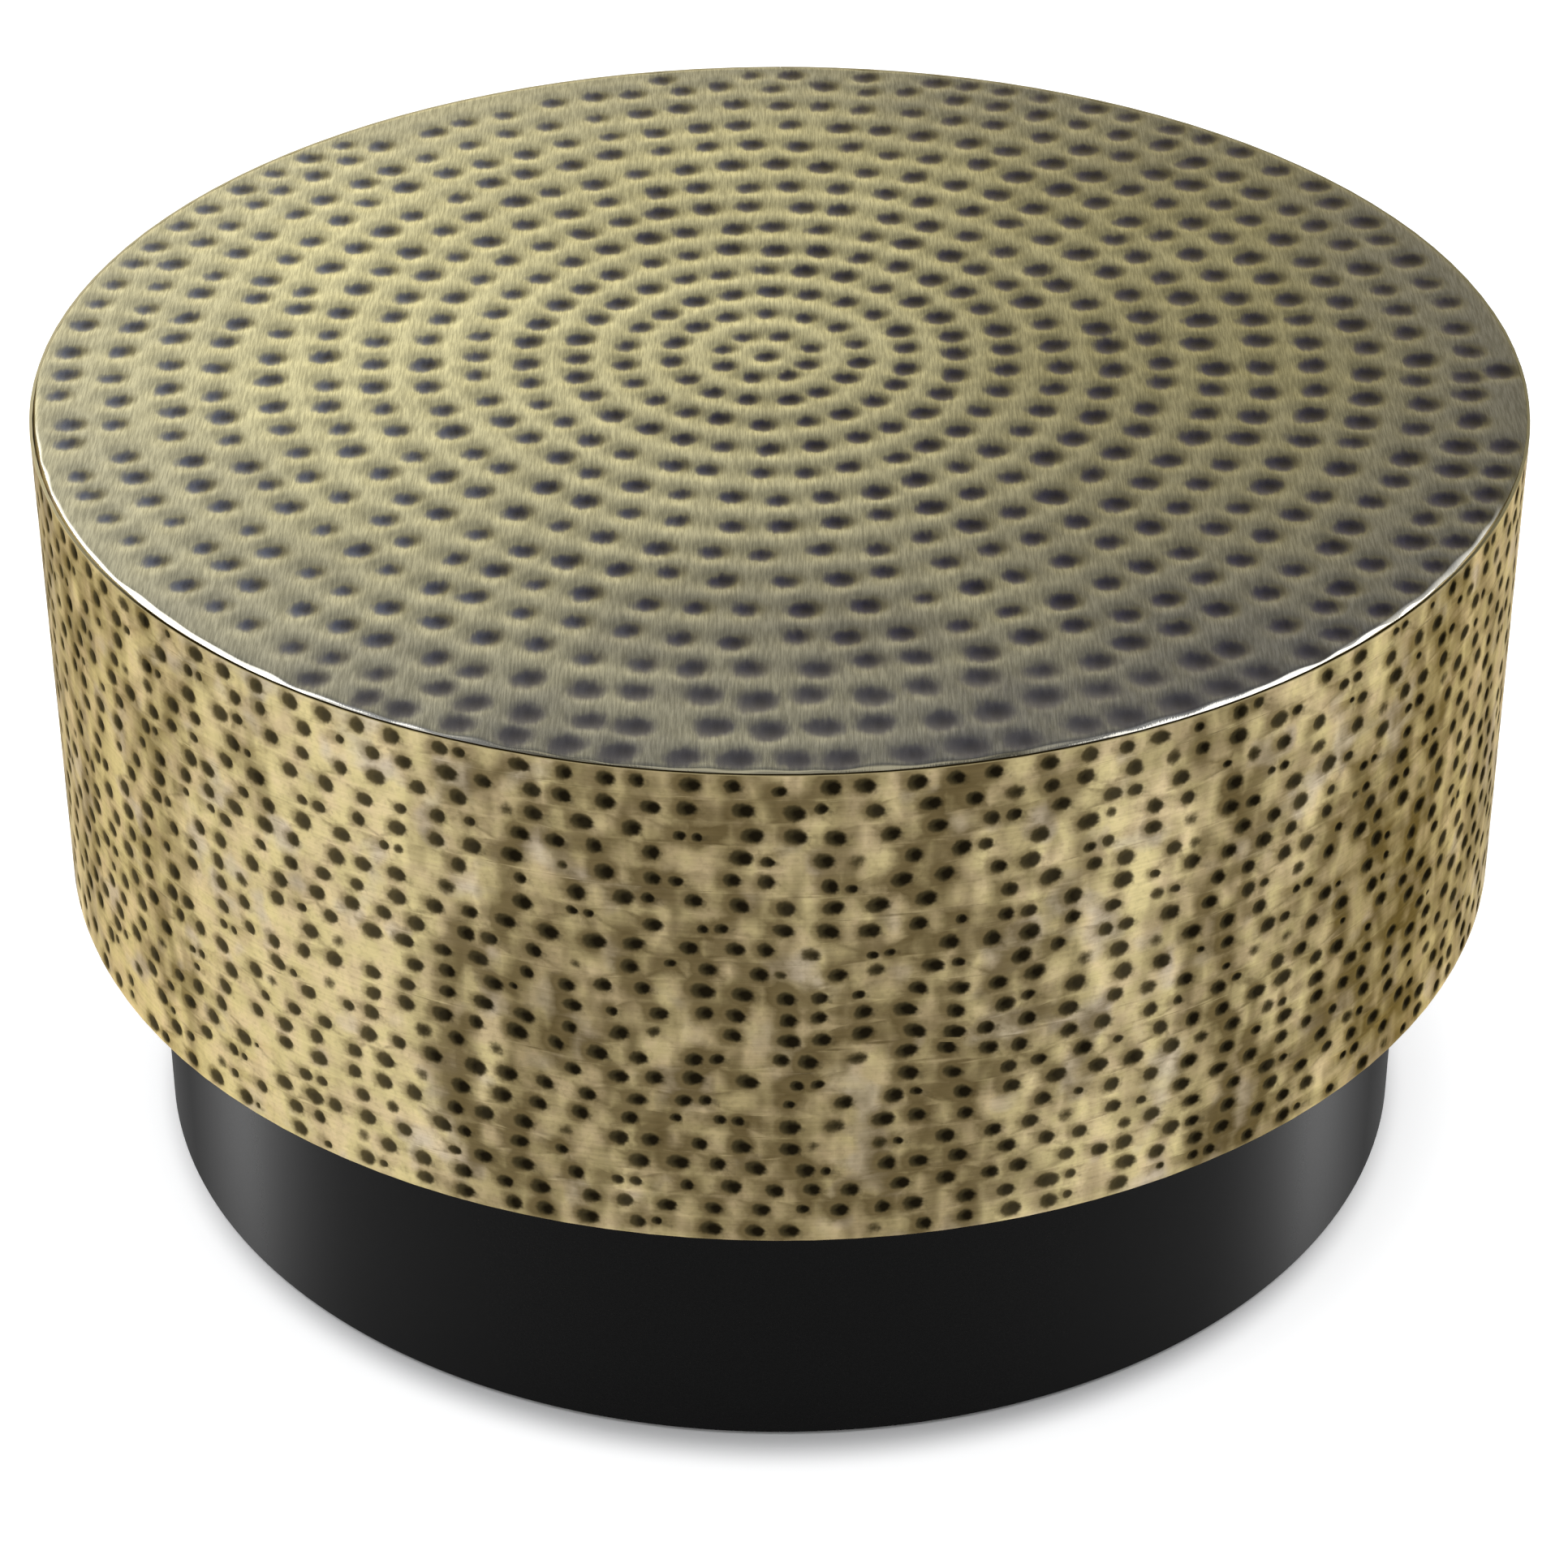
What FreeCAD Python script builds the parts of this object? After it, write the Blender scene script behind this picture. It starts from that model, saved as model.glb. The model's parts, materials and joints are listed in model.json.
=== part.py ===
import FreeCAD, Part
import os
import Sketcher

# Round drum coffee table on a recessed plinth. Millimetres, +Z up, the floor is z = 0.
os.makedirs("parts", exist_ok=True)
doc = FreeCAD.newDocument("drum_table")

# Driving sizes
SIZES = {
    # Outline
    "drum_diameter": "700",
    "table_height": "386",
    "plinth_diameter": "622",
    "plinth_height": "145",
    # Hammered top pan that drops into the skirt
    "pan_gauge": "1.5",
    "pan_roll": "3",
    "pan_lip": "10",
    "pan_clearance": "0.4",
    # Hammered skirt, its butt seam at the back and the strips behind both seams
    "skirt_gauge": "1.5",
    "skirt_drop": "0.5",
    "seam_gap": "0.4",
    "strip_width": "40",
    "strip_gauge": "1.5",
    "strip_clearance": "0.3",
    # Boards
    "board_thickness": "12",
    "board_clearance": "0.5",
    "floor_thickness": "15",
    "floor_recess": "3",
    "floor_clearance": "1",
    # Rolled angle hoops inside the drum
    "hoop_leg": "25",
    "hoop_gauge": "3",
    "hoop_root": "3",
    # Flat-bar stays between the hoops and box rails under the top board
    "stay_width": "30",
    "stay_gauge": "4",
    "rail_width": "30",
    "rail_height": "20",
    "rail_wall": "1.5",
    # Plinth wall and its rolled angle hoops
    "plinth_gauge": "1.5",
    "plinth_leg": "30",
    "plinth_hoop_gauge": "3",
    "plinth_root": "3",
    # Screws that hold both boards to the drum hoops, with pan heads above and sunk heads below
    "screw_count": "12",
    "screw_diameter": "4",
    "screw_bite": "9",
    "screw_head_diameter": "8",
    "screw_head_height": "2.2",
    "screw_clearance": "0.5",
    # Hex bolts, washers and tee nuts that hold the drum to the plinth
    "bolt_count": "8",
    "bolt_diameter": "8",
    "bolt_across": "13",
    "bolt_head_height": "5.3",
    "bolt_end": "1",
    "bolt_chamfer": "1",
    "bolt_clearance": "1",
    "washer_diameter": "16",
    "washer_thickness": "1.6",
    "tee_flange_diameter": "22",
    "tee_flange": "1.5",
    "tee_barrel_diameter": "11",
    "tee_barrel": "9",
    # Push-in foot glides
    "glide_count": "8",
    "glide_diameter": "26",
    "glide_height": "2",
    "glide_edge": "0.8",
    "glide_stem_diameter": "8",
    "glide_stem": "12",
    "glide_barb": "0.6",
}

# Sizes and places that follow from the driving ones
FITS = {
    "skirt_radius": "sizes.drum_diameter / 2",
    "skirt_inner": "skirt_radius - sizes.skirt_gauge",
    "skirt_top": "sizes.table_height - sizes.skirt_drop",
    "seam_angle": "360 - 360 * sizes.seam_gap / (pi * sizes.drum_diameter)",
    "pan_radius": "skirt_inner - sizes.pan_clearance",
    "pan_inner": "pan_radius - sizes.pan_gauge",
    "pan_under": "sizes.table_height - sizes.pan_gauge",
    "board_radius": "pan_inner - sizes.board_clearance",
    "board_under": "pan_under - sizes.board_thickness",
    "hoop_face": "skirt_inner - sizes.hoop_gauge",
    "hoop_toe": "skirt_inner - sizes.hoop_leg",
    "upper_under": "board_under - sizes.hoop_gauge",
    "floor_under": "sizes.plinth_height + sizes.floor_recess",
    "floor_top": "floor_under + sizes.floor_thickness",
    "floor_radius": "skirt_inner - sizes.floor_clearance",
    "lower_top": "floor_top + sizes.hoop_gauge",
    "stay_face": "sqrt(hoop_face ^ 2 - (sizes.stay_width / 2) ^ 2)",
    "stay_inner": "stay_face - sizes.stay_gauge",
    "rail_end": "sqrt(hoop_toe ^ 2 - (sizes.rail_width / 2) ^ 2)",
    "rail_under": "board_under - sizes.rail_height",
    "skirt_strip_outer": "skirt_inner - sizes.strip_clearance",
    "skirt_strip_angle": "360 * sizes.strip_width / (2 * pi * skirt_inner)",
    "plinth_radius": "sizes.plinth_diameter / 2",
    "plinth_inner": "plinth_radius - sizes.plinth_gauge",
    "plinth_face": "plinth_inner - sizes.plinth_hoop_gauge",
    "plinth_toe": "plinth_inner - sizes.plinth_leg",
    "plinth_seam_angle": "360 - 360 * sizes.seam_gap / (pi * sizes.plinth_diameter)",
    "plinth_strip_outer": "plinth_inner - sizes.strip_clearance",
    "plinth_strip_angle": "360 * sizes.strip_width / (2 * pi * plinth_inner)",
    "plinth_leg_under": "floor_under - sizes.plinth_hoop_gauge",
    "foot_top": "sizes.glide_height + sizes.plinth_hoop_gauge",
    "bolt_radius": "(plinth_face + plinth_toe) / 2",
    "bolt_seat": "plinth_leg_under - sizes.washer_thickness",
    "bolt_hole": "sizes.bolt_diameter + sizes.bolt_clearance",
    "bolt_length": "floor_top - bolt_seat - sizes.bolt_end",
    "bolt_turn": "180 / sizes.bolt_count",
    "glide_turn": "180 / sizes.glide_count",
    "screw_turn": "180 / sizes.screw_count",
    "screw_hole": "sizes.screw_diameter + sizes.screw_clearance",
    "screw_radius": "(hoop_face + hoop_toe) / 2",
    "board_screw_length": "sizes.hoop_gauge + sizes.screw_bite",
    "floor_screw_length": "sizes.floor_thickness + sizes.hoop_gauge",
}

# Angles that put the first of the six stays on +X and both butt seams at the back
STAY_ANGLES = [0, 60, 120, 180, 240, 300]
SEAM_TO_BACK = -90
STRIP_TO_BACK = 90

sizes = doc.addObject("Spreadsheet::Sheet", "sizes")
for row, (alias, number) in enumerate(SIZES.items(), 1):
    sizes.set(f"A{row}", alias)
    sizes.set(f"B{row}", number)
    sizes.setAlias(f"B{row}", alias)
fits = doc.addObject("Spreadsheet::Sheet", "fits")
for row, (alias, formula) in enumerate(FITS.items(), 1):
    fits.set(f"A{row}", alias)
    fits.setAlias(f"B{row}", alias)
    fits.set(f"B{row}", "=" + formula)
doc.recompute()

pieces = []


def value(expression):
    """Number that an expression of the sheets gives."""
    return float(sizes.evalExpression(expression))


def new_body(label, turn=0):
    """Empty body, turned about the table's axis, that becomes one exported piece."""
    body = doc.addObject("PartDesign::Body", label)
    body.Label = label
    body.Placement = FreeCAD.Placement(FreeCAD.Vector(), FreeCAD.Rotation(FreeCAD.Vector(0, 0, 1), turn))
    pieces.append(body)
    return body


def origin_item(body, role):
    """Origin plane or axis of a body."""
    return [item for item in body.Origin.OriginFeatures if item.Role == role][0]


def new_sketch(body, role, shift=("0", "0", "0")):
    """Sketch on an origin plane, shifted in the plane's own axes."""
    sketch = body.newObject("Sketcher::SketchObject", body.Label + "_sketch")
    sketch.AttachmentSupport = [(origin_item(body, role), "")]
    sketch.MapMode = "FlatFace"
    for axis, expression in zip("xyz", shift):
        sketch.setExpression("AttachmentOffset.Base." + axis, expression)
    return sketch


def bind(sketch, constraint, name, expression):
    """Dimension in a sketch that follows an expression."""
    index = sketch.addConstraint(constraint)
    sketch.renameConstraint(index, name)
    sketch.setExpression("Constraints." + name, expression)


def pin(sketch, line, point, place):
    """Hold a point of a sketch at two coordinates."""
    for axis, expression in zip("XY", place):
        dimension = Sketcher.Constraint("Distance" + axis, -1, 1, line, point, value(expression))
        bind(sketch, dimension, f"{axis}{line}", expression)


def polygon(sketch, corners):
    """Closed outline whose corners follow expressions."""
    first = sketch.GeometryCount
    places = [FreeCAD.Vector(value(x), value(y), 0) for x, y in corners]
    count = len(corners)
    for k in range(count):
        sketch.addGeometry(Part.LineSegment(places[k], places[(k + 1) % count]))
    for k in range(count):
        sketch.addConstraint(Sketcher.Constraint("Coincident", first + k, 2, first + (k + 1) % count, 1))
    for k, corner in enumerate(corners):
        pin(sketch, first + k, 1, corner)


def circle(sketch, place, diameter):
    """Circle whose centre and diameter follow expressions."""
    centre = FreeCAD.Vector(value(place[0]), value(place[1]), 0)
    line = sketch.addGeometry(Part.Circle(centre, FreeCAD.Vector(0, 0, 1), value(diameter) / 2))
    pin(sketch, line, 3, place)
    bind(sketch, Sketcher.Constraint("Diameter", line, value(diameter)), f"D{line}", diameter)


def revolve(body, sketch, angle="360"):
    """Turn a profile about the sketch's upright axis, to both sides of the sketch plane."""
    feature = body.newObject("PartDesign::Revolution", body.Label + "_revolve")
    feature.Profile = sketch
    feature.ReferenceAxis = (sketch, ["V_Axis"])
    feature.Midplane = True
    feature.setExpression("Angle", angle)
    doc.recompute()
    return feature


def pad(body, sketch, length, side="One side"):
    """Raise a profile by a length."""
    feature = body.newObject("PartDesign::Pad", body.Label + "_pad")
    feature.Profile = sketch
    feature.SideType = side
    feature.setExpression("Length", length)
    doc.recompute()
    return feature


def ring_of(body, features, count):
    """Repeat features evenly about the table's axis."""
    pattern = body.newObject("PartDesign::PolarPattern", body.Label + "_ring")
    pattern.Originals = features
    pattern.Axis = (origin_item(body, "Z_Axis"), [""])
    pattern.Angle = 360
    pattern.setExpression("Occurrences", count)
    body.Tip = pattern
    doc.recompute()


def ring_of_holes(body, radius, turn, diameter, top, depth, count):
    """Round holes sunk from a height, on a circle about the table's axis."""
    sketch = new_sketch(body, "XY_Plane", ("0", "0", top))
    circle(sketch, (f"{radius} * cos({turn})", f"{radius} * sin({turn})"), diameter)
    hole = body.newObject("PartDesign::Pocket", body.Label + "_hole")
    hole.Profile = sketch
    hole.setExpression("Length", depth)
    doc.recompute()
    ring_of(body, [hole], count)


def round_edge(body, radius, height, size):
    """Fillet the full circular edge found at a radius and a height."""
    base = body.Tip
    names = []
    for k, edge in enumerate(base.Shape.Edges, 1):
        if not isinstance(edge.Curve, Part.Circle):
            continue
        off_radius = abs(edge.Curve.Radius - value(radius))
        off_height = abs(edge.Curve.Center.z - value(height))
        if off_radius < 1e-4 and off_height < 1e-4:
            names.append(f"Edge{k}")
    fillet = body.newObject("PartDesign::Fillet", body.Label + "_round")
    fillet.Base = (base, names)
    fillet.setExpression("Radius", size)
    doc.recompute()


def rectangle(inner, outer, low, high):
    """Corners of a profile between two radii and two heights."""
    return [(inner, low), (outer, low), (outer, high), (inner, high)]


# Top pan: a flat sheet whose edge rolls over into a lip
pan = new_body("top_pan")
outline = new_sketch(pan, "XZ_Plane")
polygon(outline, [
    ("0", "fits.pan_under"),
    ("fits.pan_inner", "fits.pan_under"),
    ("fits.pan_inner", "sizes.table_height - sizes.pan_lip"),
    ("fits.pan_radius", "sizes.table_height - sizes.pan_lip"),
    ("fits.pan_radius", "sizes.table_height"),
    ("0", "sizes.table_height"),
])
revolve(pan, outline)
round_edge(pan, "fits.pan_radius", "sizes.table_height", "sizes.pan_roll")
round_edge(pan, "fits.pan_inner", "fits.pan_under", "sizes.pan_roll - sizes.pan_gauge")

# Top board under the pan, its upper edge eased to clear the pan's bend
board = new_body("top_board")
outline = new_sketch(board, "XZ_Plane")
polygon(outline, [
    ("0", "fits.board_under"),
    ("fits.board_radius", "fits.board_under"),
    ("fits.board_radius", "fits.pan_under - sizes.pan_roll"),
    ("fits.board_radius - sizes.pan_roll", "fits.pan_under"),
    ("0", "fits.pan_under"),
])
revolve(board, outline)
ring_of_holes(board, "fits.screw_radius", "fits.screw_turn", "sizes.screw_diameter",
              "fits.board_under + sizes.screw_bite", "sizes.screw_bite", "sizes.screw_count")

# Skirt sheet, rolled to a cylinder with a butt seam, and the strip behind the seam
skirt = new_body("skirt", SEAM_TO_BACK)
outline = new_sketch(skirt, "XZ_Plane")
polygon(outline, rectangle("fits.skirt_inner", "fits.skirt_radius", "sizes.plinth_height", "fits.skirt_top"))
revolve(skirt, outline, "fits.seam_angle")

skirt_strip = new_body("skirt_seam_strip", STRIP_TO_BACK)
outline = new_sketch(skirt_strip, "XZ_Plane")
polygon(outline, rectangle("fits.skirt_strip_outer - sizes.strip_gauge", "fits.skirt_strip_outer",
                           "fits.floor_top + sizes.hoop_leg", "fits.board_under - sizes.hoop_leg"))
revolve(skirt_strip, outline, "fits.skirt_strip_angle")

# Upper hoop: rolled angle with its flat leg under the top board
upper_hoop = new_body("upper_hoop")
outline = new_sketch(upper_hoop, "XZ_Plane")
polygon(outline, [
    ("fits.hoop_toe", "fits.board_under"),
    ("fits.hoop_toe", "fits.upper_under"),
    ("fits.hoop_face", "fits.upper_under"),
    ("fits.hoop_face", "fits.board_under - sizes.hoop_leg"),
    ("fits.skirt_inner", "fits.board_under - sizes.hoop_leg"),
    ("fits.skirt_inner", "fits.board_under"),
])
revolve(upper_hoop, outline)
round_edge(upper_hoop, "fits.hoop_face", "fits.upper_under", "sizes.hoop_root")
ring_of_holes(upper_hoop, "fits.screw_radius", "fits.screw_turn", "fits.screw_hole",
              "fits.board_under", "sizes.hoop_gauge", "sizes.screw_count")

# Lower hoop: rolled angle whose flat leg stands on the floor board
lower_hoop = new_body("lower_hoop")
outline = new_sketch(lower_hoop, "XZ_Plane")
polygon(outline, [
    ("fits.hoop_toe", "fits.floor_top"),
    ("fits.skirt_inner", "fits.floor_top"),
    ("fits.skirt_inner", "fits.floor_top + sizes.hoop_leg"),
    ("fits.hoop_face", "fits.floor_top + sizes.hoop_leg"),
    ("fits.hoop_face", "fits.lower_top"),
    ("fits.hoop_toe", "fits.lower_top"),
])
revolve(lower_hoop, outline)
round_edge(lower_hoop, "fits.hoop_face", "fits.lower_top", "sizes.hoop_root")
ring_of_holes(lower_hoop, "fits.screw_radius", "fits.screw_turn", "sizes.screw_diameter",
              "fits.lower_top", "sizes.hoop_gauge", "sizes.screw_count")

# Stays: flat bars from leg to leg, their outer corners cut to clear the hoops' roots
for number, angle in enumerate(STAY_ANGLES, 1):
    stay = new_body(f"stay_{number}", angle)
    outline = new_sketch(stay, "XZ_Plane")
    polygon(outline, [
        ("fits.stay_inner", "fits.lower_top"),
        ("fits.stay_face - sizes.hoop_root", "fits.lower_top"),
        ("fits.stay_face", "fits.lower_top + sizes.hoop_root"),
        ("fits.stay_face", "fits.upper_under - sizes.hoop_root"),
        ("fits.stay_face - sizes.hoop_root", "fits.upper_under"),
        ("fits.stay_inner", "fits.upper_under"),
    ])
    pad(stay, outline, "sizes.stay_width", "Symmetric")


def box_section(sketch):
    """Outline and bore of a rail, level with the top board's underside."""
    half = "sizes.rail_width / 2"
    polygon(sketch, rectangle(f"-{half}", half, "fits.rail_under", "fits.board_under"))
    half_bore = "(sizes.rail_width / 2 - sizes.rail_wall)"
    polygon(sketch, rectangle(f"-{half_bore}", half_bore, "fits.rail_under + sizes.rail_wall",
                              "fits.board_under - sizes.rail_wall"))


# Cross rails under the top board: one right across, two that butt against its sides
long_rail = new_body("top_rail_long")
outline = new_sketch(long_rail, "YZ_Plane")
box_section(outline)
pad(long_rail, outline, "2 * fits.rail_end", "Symmetric")

for label, turn in (("top_rail_front", 0), ("top_rail_back", 180)):
    half_rail = new_body(label, turn)
    outline = new_sketch(half_rail, "XZ_Plane", ("0", "0", "sizes.rail_width / 2"))
    box_section(outline)
    pad(half_rail, outline, "fits.rail_end - sizes.rail_width / 2")

# Sunk-head screw, seen from its head's face up to its end
sunk_screw = [
    ("0", "0"),
    ("sizes.screw_head_diameter / 2", "0"),
    ("sizes.screw_diameter / 2", "sizes.screw_head_height"),
    ("sizes.screw_diameter / 2", "fits.floor_screw_length"),
    ("0", "fits.floor_screw_length"),
]

# Floor board that closes the drum, sunk for its screws below and for the tee nuts above
floor_board = new_body("floor_board", value("fits.screw_turn"))
outline = new_sketch(floor_board, "XZ_Plane")
polygon(outline, rectangle("0", "fits.floor_radius", "fits.floor_under", "fits.floor_top"))
revolve(floor_board, outline)
outline = new_sketch(floor_board, "XZ_Plane", ("fits.screw_radius", "fits.floor_under", "0"))
polygon(outline, sunk_screw)
sunk_hole = floor_board.newObject("PartDesign::Groove", "floor_board_sunk_hole")
sunk_hole.Profile = outline
sunk_hole.ReferenceAxis = (outline, ["V_Axis"])
sunk_hole.Angle = 360
ring_of(floor_board, [sunk_hole], "sizes.screw_count")
for diameter, depth in (("sizes.tee_barrel_diameter", "sizes.floor_thickness"),
                        ("sizes.tee_flange_diameter", "sizes.tee_flange")):
    ring_of_holes(floor_board, "fits.bolt_radius", "(fits.bolt_turn - fits.screw_turn)", diameter,
                  "fits.floor_top", depth, "sizes.bolt_count")

# Plinth wall, rolled to a cylinder with a butt seam, and the strip behind the seam
plinth = new_body("plinth_wall", SEAM_TO_BACK)
outline = new_sketch(plinth, "XZ_Plane")
polygon(outline, rectangle("fits.plinth_inner", "fits.plinth_radius", "sizes.glide_height", "fits.floor_under"))
revolve(plinth, outline, "fits.plinth_seam_angle")

plinth_strip = new_body("plinth_seam_strip", STRIP_TO_BACK)
outline = new_sketch(plinth_strip, "XZ_Plane")
polygon(outline, rectangle("fits.plinth_strip_outer - sizes.strip_gauge", "fits.plinth_strip_outer",
                           "sizes.glide_height + sizes.plinth_leg", "fits.floor_under - sizes.plinth_leg"))
revolve(plinth_strip, outline, "fits.plinth_strip_angle")

# Plinth top hoop: rolled angle bolted up against the floor board
top_hoop = new_body("plinth_top_hoop")
outline = new_sketch(top_hoop, "XZ_Plane")
polygon(outline, [
    ("fits.plinth_toe", "fits.floor_under"),
    ("fits.plinth_toe", "fits.plinth_leg_under"),
    ("fits.plinth_face", "fits.plinth_leg_under"),
    ("fits.plinth_face", "fits.floor_under - sizes.plinth_leg"),
    ("fits.plinth_inner", "fits.floor_under - sizes.plinth_leg"),
    ("fits.plinth_inner", "fits.floor_under"),
])
revolve(top_hoop, outline)
round_edge(top_hoop, "fits.plinth_face", "fits.plinth_leg_under", "sizes.plinth_root")
ring_of_holes(top_hoop, "fits.bolt_radius", "fits.bolt_turn", "fits.bolt_hole",
              "fits.floor_under", "sizes.plinth_hoop_gauge", "sizes.bolt_count")

# Plinth foot hoop: rolled angle that takes the glides
foot_hoop = new_body("plinth_foot_hoop")
outline = new_sketch(foot_hoop, "XZ_Plane")
polygon(outline, [
    ("fits.plinth_toe", "sizes.glide_height"),
    ("fits.plinth_inner", "sizes.glide_height"),
    ("fits.plinth_inner", "sizes.glide_height + sizes.plinth_leg"),
    ("fits.plinth_face", "sizes.glide_height + sizes.plinth_leg"),
    ("fits.plinth_face", "fits.foot_top"),
    ("fits.plinth_toe", "fits.foot_top"),
])
revolve(foot_hoop, outline)
round_edge(foot_hoop, "fits.plinth_face", "fits.foot_top", "sizes.plinth_root")
ring_of_holes(foot_hoop, "fits.bolt_radius", "fits.glide_turn", "sizes.glide_stem_diameter",
              "fits.foot_top", "sizes.plinth_hoop_gauge", "sizes.glide_count")

# Pan-head screws from below, through the upper hoop's flat leg into the top board
board_screws = new_body("board_screws", value("fits.screw_turn"))
outline = new_sketch(board_screws, "XZ_Plane", ("fits.screw_radius", "fits.upper_under", "0"))
polygon(outline, [
    ("0", "-sizes.screw_head_height"),
    ("(sizes.screw_head_diameter - sizes.screw_head_height) / 2", "-sizes.screw_head_height"),
    ("sizes.screw_head_diameter / 2", "-sizes.screw_head_height / 2"),
    ("sizes.screw_head_diameter / 2", "0"),
    ("sizes.screw_diameter / 2", "0"),
    ("sizes.screw_diameter / 2", "fits.board_screw_length - sizes.screw_diameter"),
    ("0", "fits.board_screw_length"),
])
ring_of(board_screws, [revolve(board_screws, outline)], "sizes.screw_count")

# Sunk-head screws from below, through the floor board into the lower hoop's flat leg
floor_screws = new_body("floor_screws", value("fits.screw_turn"))
outline = new_sketch(floor_screws, "XZ_Plane", ("fits.screw_radius", "fits.floor_under", "0"))
polygon(outline, sunk_screw)
ring_of(floor_screws, [revolve(floor_screws, outline)], "sizes.screw_count")

# Hex bolts up through the plinth's top hoop, their washers and the tee nuts let into the floor board
bolts = new_body("plinth_bolts", value("fits.bolt_turn"))
outline = new_sketch(bolts, "XZ_Plane", ("fits.bolt_radius", "fits.bolt_seat", "0"))
polygon(outline, [
    ("0", "0"),
    ("sizes.bolt_diameter / 2", "0"),
    ("sizes.bolt_diameter / 2", "fits.bolt_length - sizes.bolt_chamfer"),
    ("sizes.bolt_diameter / 2 - sizes.bolt_chamfer", "fits.bolt_length"),
    ("0", "fits.bolt_length"),
])
shank = revolve(bolts, outline)
outline = new_sketch(bolts, "XY_Plane", ("fits.bolt_radius", "0", "fits.bolt_seat - sizes.bolt_head_height"))
polygon(outline, [(f"sizes.bolt_across / sqrt(3) * cos({angle})", f"sizes.bolt_across / sqrt(3) * sin({angle})")
                  for angle in range(0, 360, 60)])
head = pad(bolts, outline, "sizes.bolt_head_height")
ring_of(bolts, [shank, head], "sizes.bolt_count")

washers = new_body("bolt_washers", value("fits.bolt_turn"))
outline = new_sketch(washers, "XZ_Plane", ("fits.bolt_radius", "fits.bolt_seat", "0"))
polygon(outline, rectangle("fits.bolt_hole / 2", "sizes.washer_diameter / 2", "0", "sizes.washer_thickness"))
ring_of(washers, [revolve(washers, outline)], "sizes.bolt_count")

tee_nuts = new_body("tee_nuts", value("fits.bolt_turn"))
outline = new_sketch(tee_nuts, "XZ_Plane", ("fits.bolt_radius", "fits.floor_top", "0"))
polygon(outline, [
    ("sizes.bolt_diameter / 2", "-sizes.tee_flange - sizes.tee_barrel"),
    ("sizes.tee_barrel_diameter / 2", "-sizes.tee_flange - sizes.tee_barrel"),
    ("sizes.tee_barrel_diameter / 2", "-sizes.tee_flange"),
    ("sizes.tee_flange_diameter / 2", "-sizes.tee_flange"),
    ("sizes.tee_flange_diameter / 2", "0"),
    ("sizes.bolt_diameter / 2", "0"),
])
ring_of(tee_nuts, [revolve(tee_nuts, outline)], "sizes.bolt_count")

# Glides pushed into the foot hoop from below
glides = new_body("foot_glides", value("fits.glide_turn"))
outline = new_sketch(glides, "XZ_Plane", ("fits.bolt_radius", "0", "0"))
polygon(outline, [
    ("0", "0"),
    ("sizes.glide_diameter / 2 - sizes.glide_edge", "0"),
    ("sizes.glide_diameter / 2", "sizes.glide_edge"),
    ("sizes.glide_diameter / 2", "sizes.glide_height"),
    ("sizes.glide_stem_diameter / 2", "sizes.glide_height"),
    ("sizes.glide_stem_diameter / 2", "fits.foot_top"),
    ("sizes.glide_stem_diameter / 2 + sizes.glide_barb", "fits.foot_top"),
    ("sizes.glide_stem_diameter / 2 - sizes.glide_barb", "sizes.glide_height + sizes.glide_stem"),
    ("0", "sizes.glide_height + sizes.glide_stem"),
])
ring_of(glides, [revolve(glides, outline)], "sizes.glide_count")

# Check every object of the document, then write one file per piece
doc.recompute()
for item in doc.Objects:
    if "Invalid" in item.State or "Error" in item.State:
        raise RuntimeError(f"{item.Label} did not build")
for piece in pieces:
    if not piece.Shape.isValid() or not piece.Shape.Solids:
        raise RuntimeError(f"{piece.Label} is not a valid solid")
    piece.Shape.exportStep(f"parts/{piece.Label}.step")
    print(piece.Label, len(piece.Shape.Solids), round(piece.Shape.Volume / 1000, 1), "cm3")
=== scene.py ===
# %% [markdown]
# # A hammered drum coffee table
# The real table is a brass-finished drum on a black plinth. Its top is a thin pan that was struck with a
# ball hammer in rings, and its skirt is a sheet that was struck all over and then rolled into a cylinder.
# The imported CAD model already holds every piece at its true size, so this lesson only dresses it: it
# remakes the two hammered sheets with real dents and the plinth's wall as a smooth one, gives each piece a
# finish, and lights the scene.

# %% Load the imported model
import bmesh
import bpy
import json
import math
import random
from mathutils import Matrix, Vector, kdtree, noise
from types import SimpleNamespace


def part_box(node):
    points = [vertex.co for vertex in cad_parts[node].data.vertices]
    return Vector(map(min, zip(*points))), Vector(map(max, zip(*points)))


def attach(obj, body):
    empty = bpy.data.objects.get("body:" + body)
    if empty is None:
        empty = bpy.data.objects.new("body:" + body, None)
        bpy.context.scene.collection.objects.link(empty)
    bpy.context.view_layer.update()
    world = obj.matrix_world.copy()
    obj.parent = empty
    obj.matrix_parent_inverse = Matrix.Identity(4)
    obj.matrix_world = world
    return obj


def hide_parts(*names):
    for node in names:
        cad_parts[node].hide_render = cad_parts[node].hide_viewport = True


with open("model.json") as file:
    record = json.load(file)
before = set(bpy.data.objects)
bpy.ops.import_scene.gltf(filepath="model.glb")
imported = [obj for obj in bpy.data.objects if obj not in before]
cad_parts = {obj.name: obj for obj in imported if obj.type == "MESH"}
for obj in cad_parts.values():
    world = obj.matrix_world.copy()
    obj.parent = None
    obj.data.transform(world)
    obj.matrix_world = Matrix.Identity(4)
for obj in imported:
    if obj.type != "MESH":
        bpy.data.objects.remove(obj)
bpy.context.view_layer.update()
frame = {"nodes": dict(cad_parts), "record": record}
nodes = frame["nodes"]

# %% [markdown]
# ## Camera
# The table was photographed from about 33 degrees above the floor with a long lens, which keeps the drum's
# sides almost upright. The lens, height and distance were found by matching the round edges: one circle
# seen aslant gives away the angle, and circles at several heights give the distance.

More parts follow.
